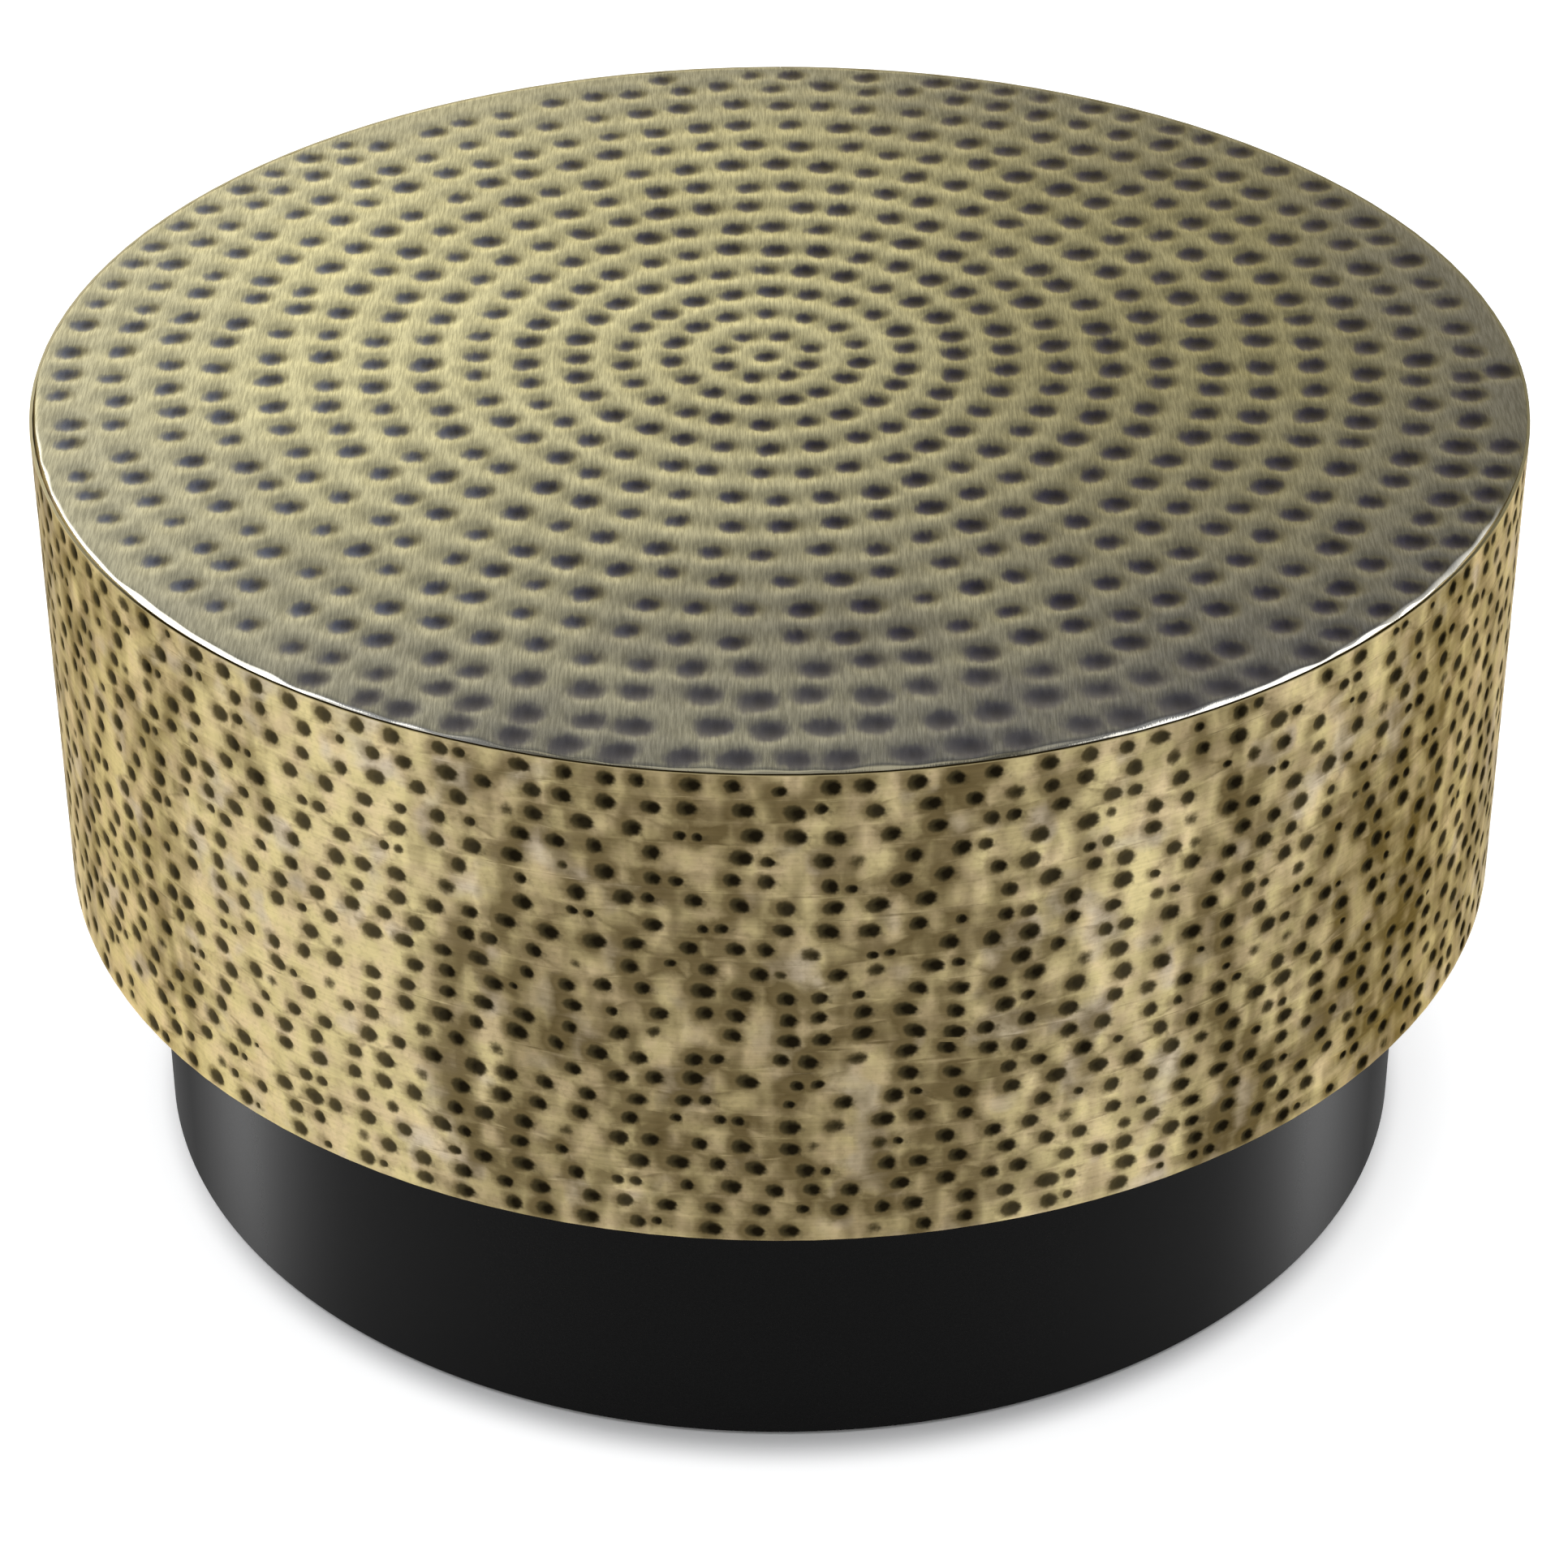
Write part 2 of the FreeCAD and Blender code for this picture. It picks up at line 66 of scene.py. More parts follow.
# %% Place the camera
CAMERA_PITCH = 0.57546
CAMERA_DISTANCE = 2.2567
CAMERA_AIM = Vector((0.0020, 0.0, 0.1547))
CAMERA_LENS = 104.0
CAMERA_SENSOR = 36.0

camera = bpy.data.objects.new("camera", bpy.data.cameras.new("camera"))
camera.data.lens = CAMERA_LENS
camera.data.sensor_width = CAMERA_SENSOR
towards_lens = Vector((0, -math.cos(CAMERA_PITCH), math.sin(CAMERA_PITCH)))
camera.location = CAMERA_AIM + CAMERA_DISTANCE * towards_lens
camera.rotation_euler = (math.pi / 2 - CAMERA_PITCH, 0, 0)
bpy.context.scene.collection.objects.link(camera)
bpy.context.scene.camera = camera
bpy.context.scene.view_settings.view_transform = "Standard"
print("camera at", tuple(round(c, 3) for c in camera.location))

# %% [markdown]
# ## The hammered top
# On the real table a ball hammer left soft round dents in rings, worked outwards from near the middle by
# eye, so the spacing drifts a little. A bump pattern could fake them, but it would not catch the light at
# the edge of the table, so the dents are real. First comes the plan: a place and a strength for each blow.
# The blows at the very front were a little weaker, and in the outer rings none was struck right beside
# another.

# %% Lay out the rings of dents
random.seed(7)
PAN_LOW, PAN_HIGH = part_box("top_pan")
PAN_RADIUS = PAN_HIGH.x
TOP = PAN_HIGH.z
RING_CENTRE = Vector((-0.007, 0.016))
RING_PITCH = 0.0243
RINGS = 16
INNER_CROWDING, CROWDED_RINGS = 0.009, 3
INNER_SPACING, SPACING_GROWTH, FULL_SPACING_RADIUS = 0.0168, 0.0072, 0.19
ANGLE_DRIFT, ANGLE_DRIFT_GROWTH = 0.25, 0.30
RADIUS_DRIFT, RADIUS_DRIFT_GROWTH = 0.0005, 0.0014
LEAST_SPACING, FIRST_SPACED_RING = 0.0165, 9
EDGE_MARGIN, PAST_EDGE = 0.010, 0.02
FRONT_WEAKER, WEAKER_FROM, WEAKER_FADE = 0.06, 0.24, 0.06
FIRST_BLOW, BLOWS = 0.9, (0.78, 1.0)


def clamp(value):
    """A value held between 0 and 1."""
    return max(0.0, min(1.0, value))


def ring_radius(ring):
    """Radius of a ring of dents. The first rings were worked closer together."""
    return RING_PITCH * ring - INNER_CROWDING * (1 - math.exp(-ring / CROWDED_RINGS))


top_dents = [(RING_CENTRE.copy(), FIRST_BLOW)]
for ring in range(1, RINGS):
    radius = ring_radius(ring)
    spread = radius / PAN_RADIUS
    spacing = INNER_SPACING + SPACING_GROWTH * min(1.0, radius / FULL_SPACING_RADIUS)
    count = round(2 * math.pi * radius / spacing)
    turn = random.uniform(0, 2 * math.pi)
    for k in range(count):
        slip = random.gauss(0, ANGLE_DRIFT + ANGLE_DRIFT_GROWTH * spread)
        angle = turn + (2 * math.pi * k + slip) / count
        reach = radius + random.gauss(0, RADIUS_DRIFT + RADIUS_DRIFT_GROWTH * spread)
        place = RING_CENTRE + Vector((math.cos(angle), math.sin(angle))) * reach
        place *= min(1.0, (PAN_RADIUS - EDGE_MARGIN) / place.length)
        crowded = any((place - other).length < LEAST_SPACING for other, strength in top_dents)
        if reach < PAN_RADIUS + PAST_EDGE and not (crowded and ring >= FIRST_SPACED_RING):
            weaker = FRONT_WEAKER * clamp((-place.y - WEAKER_FROM) / WEAKER_FADE)
            top_dents.append((place, random.uniform(*BLOWS) - weaker))
print("dents on the top:", len(top_dents))

# %% [markdown]
# A flat disc cannot take dents unless it has points to move. One fine grid would do, but its square pattern
# would show at the round edge, so flat grids are bent into rings instead, and a bridge of faces joins each
# ring to the next.

# %% Bend flat grids into rings
DOUBLES, SAME_LOOP = 1e-7, 1e-5


def ring_band(bm, points, around):
    """Bend a flat grid into a closed ring that follows (radius, height) points, and return its two ends."""
    last = len(points) - 1
    grid = bmesh.ops.create_grid(bm, x_segments=around, y_segments=last, size=0.5)["verts"]
    for vertex in grid:
        turn = 2 * math.pi * (vertex.co.x + 0.5)
        radius, height = points[round((vertex.co.y + 0.5) * last)]
        vertex.co = (radius * math.cos(turn), radius * math.sin(turn), height)
    bmesh.ops.remove_doubles(bm, verts=grid, dist=DOUBLES)
    return points[0], points[-1]


def loop_at(bm, radius, height):
    """Open edges of the loop at a radius and height."""
    found = []
    for edge in bm.edges:
        if len(edge.link_faces) < 2:
            off_radius = abs(edge.verts[0].co.to_2d().length - radius)
            off_height = abs((edge.verts[0].co.z + edge.verts[1].co.z) / 2 - height)
            if off_radius < SAME_LOOP and off_height < SAME_LOOP:
                found.append(edge)
    return found


def steps_between(start, end, count):
    """Evenly spaced values from start to end."""
    return [start + (end - start) * k / count for k in range(count + 1)]


# %% [markdown]
# The pan starts with a small hub. Each ring has twice as many points round as the one before, which keeps
# the faces near 2 to 3 mm across. The last ring runs on over the rolled edge and back underneath.

# %% Make the top pan from its profile
ROLL = 0.003
GAUGE = 0.0015
BULGE = 1.35
ROLL_STEPS = 8
HUB_RADIUS, HUB_STEPS = 0.002, 24
# Each band: inner radius, outer radius, steps outwards, points round
BANDS = [(0.004, 0.022, 9, 48), (0.024, 0.046, 10, 96), (0.048, 0.092, 20, 192), (0.094, 0.186, 41, 384)]
OUTER_START, OUTER_STEPS, OUTER_ROUND = 0.188, 71, 768


def flat_points(start, end, count):
    """Profile points of a flat stretch of the top."""
    return [(radius, TOP) for radius in steps_between(start, end, count)]


pan = bmesh.new()
bmesh.ops.create_circle(pan, cap_ends=True, cap_tris=True, segments=HUB_STEPS, radius=HUB_RADIUS)
bmesh.ops.translate(pan, verts=pan.verts, vec=(0, 0, TOP))
flat_edge = PAN_RADIUS - ROLL
rim = [(flat_edge + ROLL * math.sin(a) ** BULGE, TOP - ROLL + ROLL * math.cos(a) ** BULGE)
       for a in steps_between(0, math.pi / 2, ROLL_STEPS)]
under = [(PAN_RADIUS, PAN_LOW.z), (PAN_RADIUS - GAUGE, PAN_LOW.z), (PAN_RADIUS - GAUGE, TOP - ROLL),
         (flat_edge, TOP - GAUGE)]
chains = [(flat_points(start, end, count), around) for start, end, count, around in BANDS]
chains.append((flat_points(OUTER_START, flat_edge, OUTER_STEPS)[:-1] + rim + under, OUTER_ROUND))
previous = (HUB_RADIUS, TOP)
for points, around in chains:
    first, last = ring_band(pan, points, around)
    bmesh.ops.bridge_loops(pan, edges=loop_at(pan, *previous) + loop_at(pan, *first))
    previous = last
bmesh.ops.edgeloop_fill(pan, edges=loop_at(pan, *previous))
bmesh.ops.recalc_face_normals(pan, faces=pan.faces)
print("pan points:", len(pan.verts), "open edges:", sum(len(e.link_faces) != 2 for e in pan.edges))

# %% [markdown]
# Each dent is a soft bowl that runs into its neighbours. Bowls that overlap are joined by the fourth root
# of a sum of fourth powers, which stays near the deeper one. Two numbers are kept on every point for the
# finish: dent is highest in the middle of a dent and 0 outside, and pool is the same but set to one side,
# where it marks painted shade on that side of the dent. A search tree finds the few points near each blow.

# %% Mark the dents on the points of the top
DENT_REACH = 0.0108
BOWL_REACH = 1.30
WEAK_SIZE, STRONG_EXTRA = 0.6, 0.4
INNER_SIZE, SIZE_GROWTH, FULL_SIZE_RADIUS = 0.78, 0.22, 0.18
OVALS = (0.90, 1.14)
COARSE_RAG, COARSE_RAG_SCALE = 0.26, 85.0
FINE_RAG, FINE_RAG_SCALE = 0.12, 210.0
# The pool is set to this side of each dent as painted shade.
POOL_SHADE_SIDE = Vector((0.0034, 0.0008))
JOINING_POWER = 4


def bowl(share):
    """Depth of a dent from its middle (share 0) to its edge (share 1)."""
    return (1 - share * share) ** 2


def ragged_reach(point):
    """How far the stain of a dent reaches at a point, as a share of the dent's own reach."""
    coarse = COARSE_RAG * noise.noise(point * COARSE_RAG_SCALE)
    return 1 + coarse + FINE_RAG * noise.noise(point * FINE_RAG_SCALE)


pan.verts.index_update()
pan.verts.ensure_lookup_table()
points_of_pan = kdtree.KDTree(len(pan.verts))
for vertex in pan.verts:
    points_of_pan.insert(vertex.co, vertex.index)
points_of_pan.balance()
dent_layer = pan.verts.layers.float.new("dent")
pool_shade_layer = pan.verts.layers.float.new("pool")
sink = [0.0] * len(pan.verts)
for place, strength in top_dents:
    grown = INNER_SIZE + SIZE_GROWTH * min(1.0, place.length / FULL_SIZE_RADIUS)
    reach = DENT_REACH * (WEAK_SIZE + STRONG_EXTRA * strength) * grown
    lie = random.uniform(0, math.pi)
    axis = Vector((math.cos(lie), math.sin(lie)))
    stretch = random.uniform(*OVALS)
    for co, index, distance in points_of_pan.find_range((place.x, place.y, TOP), reach * BOWL_REACH):
        vertex = pan.verts[index]
        offset = co.to_2d() - place
        oval = math.hypot(offset.dot(axis) / stretch, offset.cross(axis) * stretch)
        share = min(1.0, oval / (reach * ragged_reach(co)))
        vertex[dent_layer] = max(vertex[dent_layer], strength * (1 - share))
        sink[index] += (strength * bowl(distance / (reach * BOWL_REACH))) ** JOINING_POWER
    pool_shade_middle = place + POOL_SHADE_SIDE * reach / DENT_REACH
    for co, index, distance in points_of_pan.find_range((pool_shade_middle.x, pool_shade_middle.y, TOP), reach):
        vertex = pan.verts[index]
        vertex[pool_shade_layer] = max(vertex[pool_shade_layer], strength * (1 - distance / reach))
print("points with stain:", sum(v[dent_layer] > 0 for v in pan.verts))

# %% [markdown]
# Now the points sink. The blows of one ring together also leave a shallow groove, with a rounded ridge
# between two rings, and hand work leaves the sheet a little wavy. Along the front the rolled edge is wavier
# still and was polished bright. From a place on each side on to the back it lies flatter and closes on the
# skirt. Two more numbers go to the finish: ridge is highest on the ridges, where it lightens the colour as
# painted light of the relief and of the rubbing, and edge is 1 on the polished part of the edge, whose
# near-white colour paints part of the lamps' highlight.

# %% Strike the dents and shape the rolled edge
DENT_DEPTH = 0.00105
GROOVE_DEPTH = 0.00026
TOP_CLEAR = 0.00006
WORKED_MIDDLE = 1.15
SHEET_WAVE, SHEET_WAVE_SCALE = 0.00006, 12.0
EDGE_ZONE = 0.011
EDGE_DROP, EDGE_WAVE, EDGE_WAVE_SCALE = 0.00042, 0.00078, 55.0
EDGE_SWAY, EDGE_SWAY_SCALE, EDGE_SWAY_SEED = 0.0034, 48.0, Vector((0, 0, 5))
# Where the polish stops on each side; it is laid only where the white highlight lines should show.
LEFT_POLISH, RIGHT_POLISH = -0.06, -0.14
POLISH_FADE, POLISH_WIDTH = 0.03, 0.0010
FLAT_FADE, FLAT_START, EDGE_FLAT = 0.08, 0.25, 0.85
EDGE_GAP = 0.00032
LEAST_RADIUS = 0.1
TINY = 1e-6


def ring_share(point):
    """How far a point lies from the nearest ring of dents: 0 on the ring, 1 halfway to the next one."""
    radius = (point.to_2d() - RING_CENTRE).length
    nearest = min(abs(ring_radius(k) - radius) for k in range(RINGS))
    return min(1.0, nearest / (RING_PITCH / 2))


ridge_light_and_rub_layer = pan.verts.layers.float.new("ridge")
polish_highlight_layer = pan.verts.layers.float.new("edge")
for vertex, blows in zip(pan.verts, sink):
    if vertex.co.z > TOP - ROLL + TINY and abs(vertex.co.z - TOP + GAUGE) > TINY:
        radius = vertex.co.to_2d().length
        share = ring_share(vertex.co)
        worked = max(0.0, WORKED_MIDDLE - radius / PAN_RADIUS)
        vertex[ridge_light_and_rub_layer] = worked * (1 - bowl(share))
        depth = DENT_DEPTH * min(1.0, blows ** (1 / JOINING_POWER)) + GROOVE_DEPTH * worked * bowl(share)
        start = RIGHT_POLISH if vertex.co.x > 0 else LEFT_POLISH
        polish_highlight = clamp((start - vertex.co.y) / POLISH_FADE + 0.5)
        vertex[polish_highlight_layer] = polish_highlight * clamp((radius - flat_edge) / POLISH_WIDTH)
        behind = clamp((vertex.co.y - start) / FLAT_FADE + FLAT_START)
        edge = (1 - behind) * max(0.0, 1 - (PAN_RADIUS - radius) / EDGE_ZONE) ** 2
        wave = SHEET_WAVE * noise.noise(vertex.co * SHEET_WAVE_SCALE)
        wave += edge * (EDGE_DROP + EDGE_WAVE * noise.noise(vertex.co * EDGE_WAVE_SCALE))
        hold = min(1.0, (PAN_RADIUS - radius) / ROLL)
        shift = edge * hold * EDGE_SWAY * noise.noise(vertex.co * EDGE_SWAY_SCALE + EDGE_SWAY_SEED)
        shift += behind * EDGE_GAP * max(0.0, radius - flat_edge) / ROLL
        vertex.co.x *= 1 + shift / max(radius, LEAST_RADIUS)
        vertex.co.y *= 1 + shift / max(radius, LEAST_RADIUS)
        vertex.co.z += EDGE_FLAT * behind * (TOP - vertex.co.z)
        vertex.co.z -= depth + TOP_CLEAR + wave
lowest = min(v.co.z for v in pan.verts if v.co.to_2d().length < flat_edge - ROLL)
print("lowest point of the top:", round((TOP - lowest) * 1000, 2), "mm down")

# %% [markdown]
# ## Helpers for finishes
# A finish is a small network of nodes. These helpers add nodes and fill their inputs with values or with
# the outputs of other nodes, so that a finish below can be read from top to bottom like a recipe.

# %% Helpers that add nodes
def new_material(name):
    """A material with a Principled shader, returned with its node tree."""
    material = bpy.data.materials.new(name)
    material.use_nodes = True
    tree = material.node_tree
    return material, tree, tree.nodes["Principled BSDF"]


def add(tree, kind, inputs=None, **settings):
    """Add a node, set its properties, and fill its inputs with values or links."""
    node = tree.nodes.new(kind)
    for key, value in settings.items():
        setattr(node, key, value)
    for key, value in (inputs or {}).items():
        if isinstance(value, bpy.types.NodeSocket):
            tree.links.new(value, node.inputs[key])
        else:
            node.inputs[key].default_value = value
    return node


def maths(tree, operation, *values):
    """Work with numbers."""
    return add(tree, "ShaderNodeMath", dict(enumerate(values)), operation=operation).outputs[0]


def remap(tree, value, low, high, to_low=0.0, to_high=1.0, way="LINEAR"):
    """Turn the range from low to high into another one, and hold the value inside it."""
    inputs = {"Value": value, "From Min": low, "From Max": high, "To Min": to_low, "To Max": to_high}
    return add(tree, "ShaderNodeMapRange", inputs, interpolation_type=way).outputs["Result"]


def vector_length(tree, vector):
    """Length of a vector."""
    return add(tree, "ShaderNodeVectorMath", {0: vector}, operation="LENGTH").outputs["Value"]


# %% [markdown]
# Patterns come from noise, which needs no image and never shows a join. It can be stretched along one axis,
# as brush lines are, and a ramp turns it into two or more shades. The numbers kept on the points of a piece
# are read as attributes, which lets a finish follow the dents exactly.

# %% Helpers for colours and patterns
def grey(value):
    """A grey as a colour."""
    return (value, value, value)


def ramp(tree, factor, stops):
    """A colour ramp given as (place, colour) stops."""
    node = add(tree, "ShaderNodeValToRGB", {"Fac": factor})
    elements = node.color_ramp.elements
    while len(elements) < len(stops):
        elements.new(0.5)
    for element, (place, colour) in zip(elements, stops):
        element.position = place
        element.color = (*colour, 1.0)
    return node.outputs["Color"]


def levels(tree, factor, *stops):
    """A ramp of greys given as (place, level) stops."""
    return ramp(tree, factor, [(place, grey(level)) for place, level in stops])


def mix(tree, factor, first, second, blend="MIX"):
    """Mix two colours."""
    node = add(tree, "ShaderNodeMix", data_type="RGBA", blend_type=blend)
    for key, value in ((0, factor), (6, first), (7, second)):
        if isinstance(value, bpy.types.NodeSocket):
            tree.links.new(value, node.inputs[key])
        elif key == 0:
            node.inputs[key].default_value = value
        else:
            node.inputs[key].default_value = (*value, 1.0)
    return node.outputs[2]


def times(tree, first, second):
    """Multiply two colours."""
    return mix(tree, 1.0, first, second, "MULTIPLY")


def stretched_noise(tree, scale, size, detail=2.0, roughness=0.5, vector=None):
    """Noise on object coordinates or another vector, stretched by a scale per axis."""
    source = vector or add(tree, "ShaderNodeTexCoord").outputs["Object"]
    mapping = add(tree, "ShaderNodeMapping", {"Vector": source, "Scale": scale})
    inputs = {"Vector": mapping.outputs["Vector"], "Scale": size, "Detail": detail, "Roughness": roughness}
    return add(tree, "ShaderNodeTexNoise", inputs).outputs["Fac"]


def attribute(tree, name):
    """A number that is kept on the points of a piece."""
    return add(tree, "ShaderNodeAttribute", attribute_name=name).outputs["Fac"]


def fine_bump(tree, shader, height, strength, distance):
    """Roughen a shader's surface by a pattern."""
    bump = add(tree, "ShaderNodeBump", {"Height": height, "Strength": strength, "Distance": distance})
    tree.links.new(bump.outputs["Normal"], shader.inputs["Normal"])


# %% [markdown]
# ## Finish of the top
# Antique brass is brushed, then darkened and rubbed back. The brush ran from front to back, which leaves
# fine lines along Y. The ground is painted pale khaki gold on the left and much darker on the right, which
# is painted light from the left, the metal stays greyer towards the front and the edge, and the front has
# smears of stain. The ridges are lighter and the grooves darker, partly from the rubbing and partly as
# painted light and shade of the relief. An image could not follow the dents, so the ground is mixed from
# noise and from the numbers kept on the points.

# %% Brushed and rubbed ground of the top
# The left and right colours paint the light from the left and the shade on the right into the ground.
LIT_LEFT_GROUND, SHADED_RIGHT_GROUND = (0.73, 0.675, 0.40), (0.30, 0.270, 0.152)
OUTER_LIT_LEFT, OUTER_SHADED_RIGHT = (0.56, 0.53, 0.39), (0.170, 0.168, 0.168)
FRONT_GREY = (0.245, 0.236, 0.215)
SMEAR_GREY = (0.125, 0.119, 0.126)

top_metal, tree, shader = new_material("top_brass")
coords = add(tree, "ShaderNodeTexCoord").outputs["Object"]
axes = add(tree, "ShaderNodeSeparateXYZ", {"Vector": coords}).outputs
brush = stretched_noise(tree, (1500, 100, 1), 1.0)
cloud = stretched_noise(tree, (1, 1, 1), 6.0, detail=3.0, roughness=0.55)
drift = remap(tree, cloud, 0.0, 1.0, -0.20, 0.20)
# lit_side is 1 on the left and 0 on the right, broken up by noise: it paints light from the left.
lit_side = remap(tree, maths(tree, "ADD", axes["X"], drift), 0.17, -0.26)
front = remap(tree, axes["Y"], 0.0, -0.32)

ground = mix(tree, lit_side, SHADED_RIGHT_GROUND, LIT_LEFT_GROUND)
ground = mix(tree, levels(tree, front, (0.0, 0.0), (1.0, 0.62)), ground, FRONT_GREY)
smear = levels(tree, stretched_noise(tree, (11, 17, 1), 1.0), (0.47, 0.0), (0.62, 0.60))
smeared = times(tree, smear, levels(tree, front, (0.35, 0.0), (1.0, 1.0)))
ground = mix(tree, smeared, ground, SMEAR_GREY)
ragged = maths(tree, "MULTIPLY_ADD", drift, 0.35, vector_length(tree, coords))
outer = remap(tree, ragged, 0.450, 0.525, to_high=0.70)
ground = mix(tree, outer, ground, mix(tree, lit_side, OUTER_SHADED_RIGHT, OUTER_LIT_LEFT))
# Lighter on the ridges, darker in the grooves: partly the rubbing, partly painted light and shade of the
# relief.
ground = times(tree, ground, levels(tree, attribute(tree, "ridge"), (0.0, 0.86), (0.85, 1.24)))
ground = times(tree, ground, levels(tree, brush, (0.36, 0.80), (0.64, 1.22)))
print("nodes in the ground of the top:", len(tree.nodes))

# %% [markdown]
# The rubbing missed the hollows, so they stay dark violet inside a brown fringe, with a black pool at one
# side; the fringe and the pool follow the pool number and are painted shade on that side. The hollows are
# painted paler and bluer on the left, as painted light and reflection, and they are smaller there, towards
# the front and at the back.
# The last ones at the very front are only soft grey patches. A streaky noise is added to the numbers kept
# on the points, which frays the outline of each dent along the brush lines.

# %% Stain in the dents of the top
# The fringe and pool colours are painted shade on one side of each dent; the paler, bluer left violet is
# painted light and reflection.
SHADE_FRINGE, FRONT_SHADE_FRINGE = (0.145, 0.124, 0.070), (0.105, 0.100, 0.110)
LIT_LEFT_VIOLET, SHADED_RIGHT_VIOLET, FRONT_VIOLET = (0.130, 0.146, 0.205), (0.050, 0.049, 0.084), (0.090, 0.088, 0.104)
POOL_SHADE_BLACK, FRONT_POOL_SHADE = (0.015, 0.0145, 0.024), (0.050, 0.048, 0.058)
SOFT_PATCH = (0.110, 0.106, 0.122)

fray = remap(tree, stretched_noise(tree, (460, 95, 1), 1.0), 0.0, 1.0, -0.17, 0.17)
fuller_in_shade = remap(tree, lit_side, 0.0, 1.0, 0.07, -0.06)
rear = remap(tree, axes["Y"], 0.22, 0.32)
bare = mix(tree, rear, levels(tree, front, (0.2, 0.0), (0.6, 0.8), (0.9, 0.3)), grey(1.0))
uneven = maths(tree, "ADD", fray, maths(tree, "MULTIPLY_ADD", bare, -0.08, fuller_in_shade))
hollow = maths(tree, "ADD", attribute(tree, "dent"), uneven)
shaded_puddle = maths(tree, "ADD", attribute(tree, "pool"), uneven)
nearest = levels(tree, front, (0.70, 0.0), (0.92, 1.0))

soft = times(tree, levels(tree, hollow, (0.0, 0.0), (0.30, 0.75)), nearest)
colour = mix(tree, soft, ground, SOFT_PATCH)
brown = levels(tree, shaded_puddle, (0.10, 0.0), (0.46, 0.66))
colour = mix(tree, brown, colour, mix(tree, nearest, SHADE_FRINGE, FRONT_SHADE_FRINGE))
core = levels(tree, hollow, (0.24, 0.0), (0.46, 0.72), (0.64, 1.0))
violet = ramp(tree, lit_side, [(0.35, SHADED_RIGHT_VIOLET), (1.0, LIT_LEFT_VIOLET)])
colour = mix(tree, core, colour, mix(tree, nearest, violet, FRONT_VIOLET))
pool_shade = levels(tree, shaded_puddle, (0.36, 0.0), (0.60, 0.50), (0.85, 0.85))
colour = mix(tree, pool_shade, colour, mix(tree, nearest, POOL_SHADE_BLACK, FRONT_POOL_SHADE))
print("nodes with the stain:", len(tree.nodes))

# %% [markdown]
# The polished part of the rolled edge mirrors the lamps as a white line on each side. Its colour is near
# white and laid only where those lines should show, so it paints part of the highlight as well as the
# polish. At the very front it is painted darker, which dulls the line there. The shader is almost all
# metal, and its gloss follows the brush lines, so that each line is a little smoother or rougher than the
# next.

# %% Polished edge and gloss of the top
# A near-white edge colour, which paints part of the lamps' highlight, and a darker one at the very front.
POLISHED_HIGHLIGHT, POLISHED_FRONT_DARKER = (0.97, 0.94, 0.84), (0.36, 0.33, 0.23)
POLISHED_ROUGHNESS = 0.10

edge = attribute(tree, "edge")
ahead = remap(tree, axes["Y"], -0.312, -0.332)
colour = mix(tree, edge, colour, mix(tree, ahead, POLISHED_HIGHLIGHT, POLISHED_FRONT_DARKER))
tree.links.new(colour, shader.inputs["Base Color"])
shader.inputs["Metallic"].default_value = 0.95
shader.inputs["Specular Tint"].default_value = (0.80, 0.72, 0.50, 1)
gloss = levels(tree, brush, (0.25, 0.28), (0.75, 0.21))
tree.links.new(mix(tree, edge, gloss, grey(POLISHED_ROUGHNESS)), shader.inputs["Roughness"])
fine_bump(tree, shader, brush, 0.12, 0.0004)
print("nodes in the whole finish of the top:", len(tree.nodes))

# %% [markdown]
# The bmesh now becomes an object. Its place is in its mesh, so the object itself stays at the origin. It
# rides on the table's one body and stands for the CAD node whose shape it dresses. Its shading is smooth,
# except where two faces meet at a sharp corner.

# %% Turn the pan into a piece
SHARP_CORNER = math.radians(40)


def make_piece(name, bm, node, material):
    """Turn a bmesh into a piece that stands for a CAD node, smooth but for its sharp corners."""
    mesh = bpy.data.meshes.new(name)
    bm.to_mesh(mesh)
    bm.free()
    mesh.materials.append(material)
    mesh.shade_smooth()
    mesh.set_sharp_from_angle(angle=SHARP_CORNER)
    piece = bpy.data.objects.new(name, mesh)
    bpy.context.scene.collection.objects.link(piece)
    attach(piece, "root")
    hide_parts(node)
    print(name, "has", sum(len(p.vertices) - 2 for p in mesh.polygons), "triangles")


make_piece("hammered_top", pan, "top_pan", top_metal)

# %% [markdown]
# ## The hammered skirt
# The skirt was struck flat, row by row, and then rolled up until its two ends met at the back. It is made
# the same way here: a flat grid gets a thickness, one dent is cut into each cell of each row by an inset
# and a subdivision, and the sheet is then rolled about the table's axis. A thin strip joins two rows, so
# that each row can slide along by itself and the dents don't line up in columns.

# %% Cut the flat sheet into rows of cells
SKIRT_LOW, SKIRT_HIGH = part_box("skirt")
SKIRT_RADIUS = min(SKIRT_HIGH.x, SKIRT_HIGH.y, -SKIRT_LOW.x, -SKIRT_LOW.y)
SEAM = 0.0001
SHEET_WIDTH = 2 * math.pi * SKIRT_RADIUS - SEAM
SHEET_HEIGHT = SKIRT_HIGH.z - SKIRT_LOW.z
COLUMNS, ROWS = 120, 21
LINES = 2 * ROWS + 1
CELL_WIDTH, ROW_PITCH = SHEET_WIDTH / COLUMNS, SHEET_HEIGHT / ROWS
JOIN = 0.0004
INSET = 0.0003
CUTS = 3


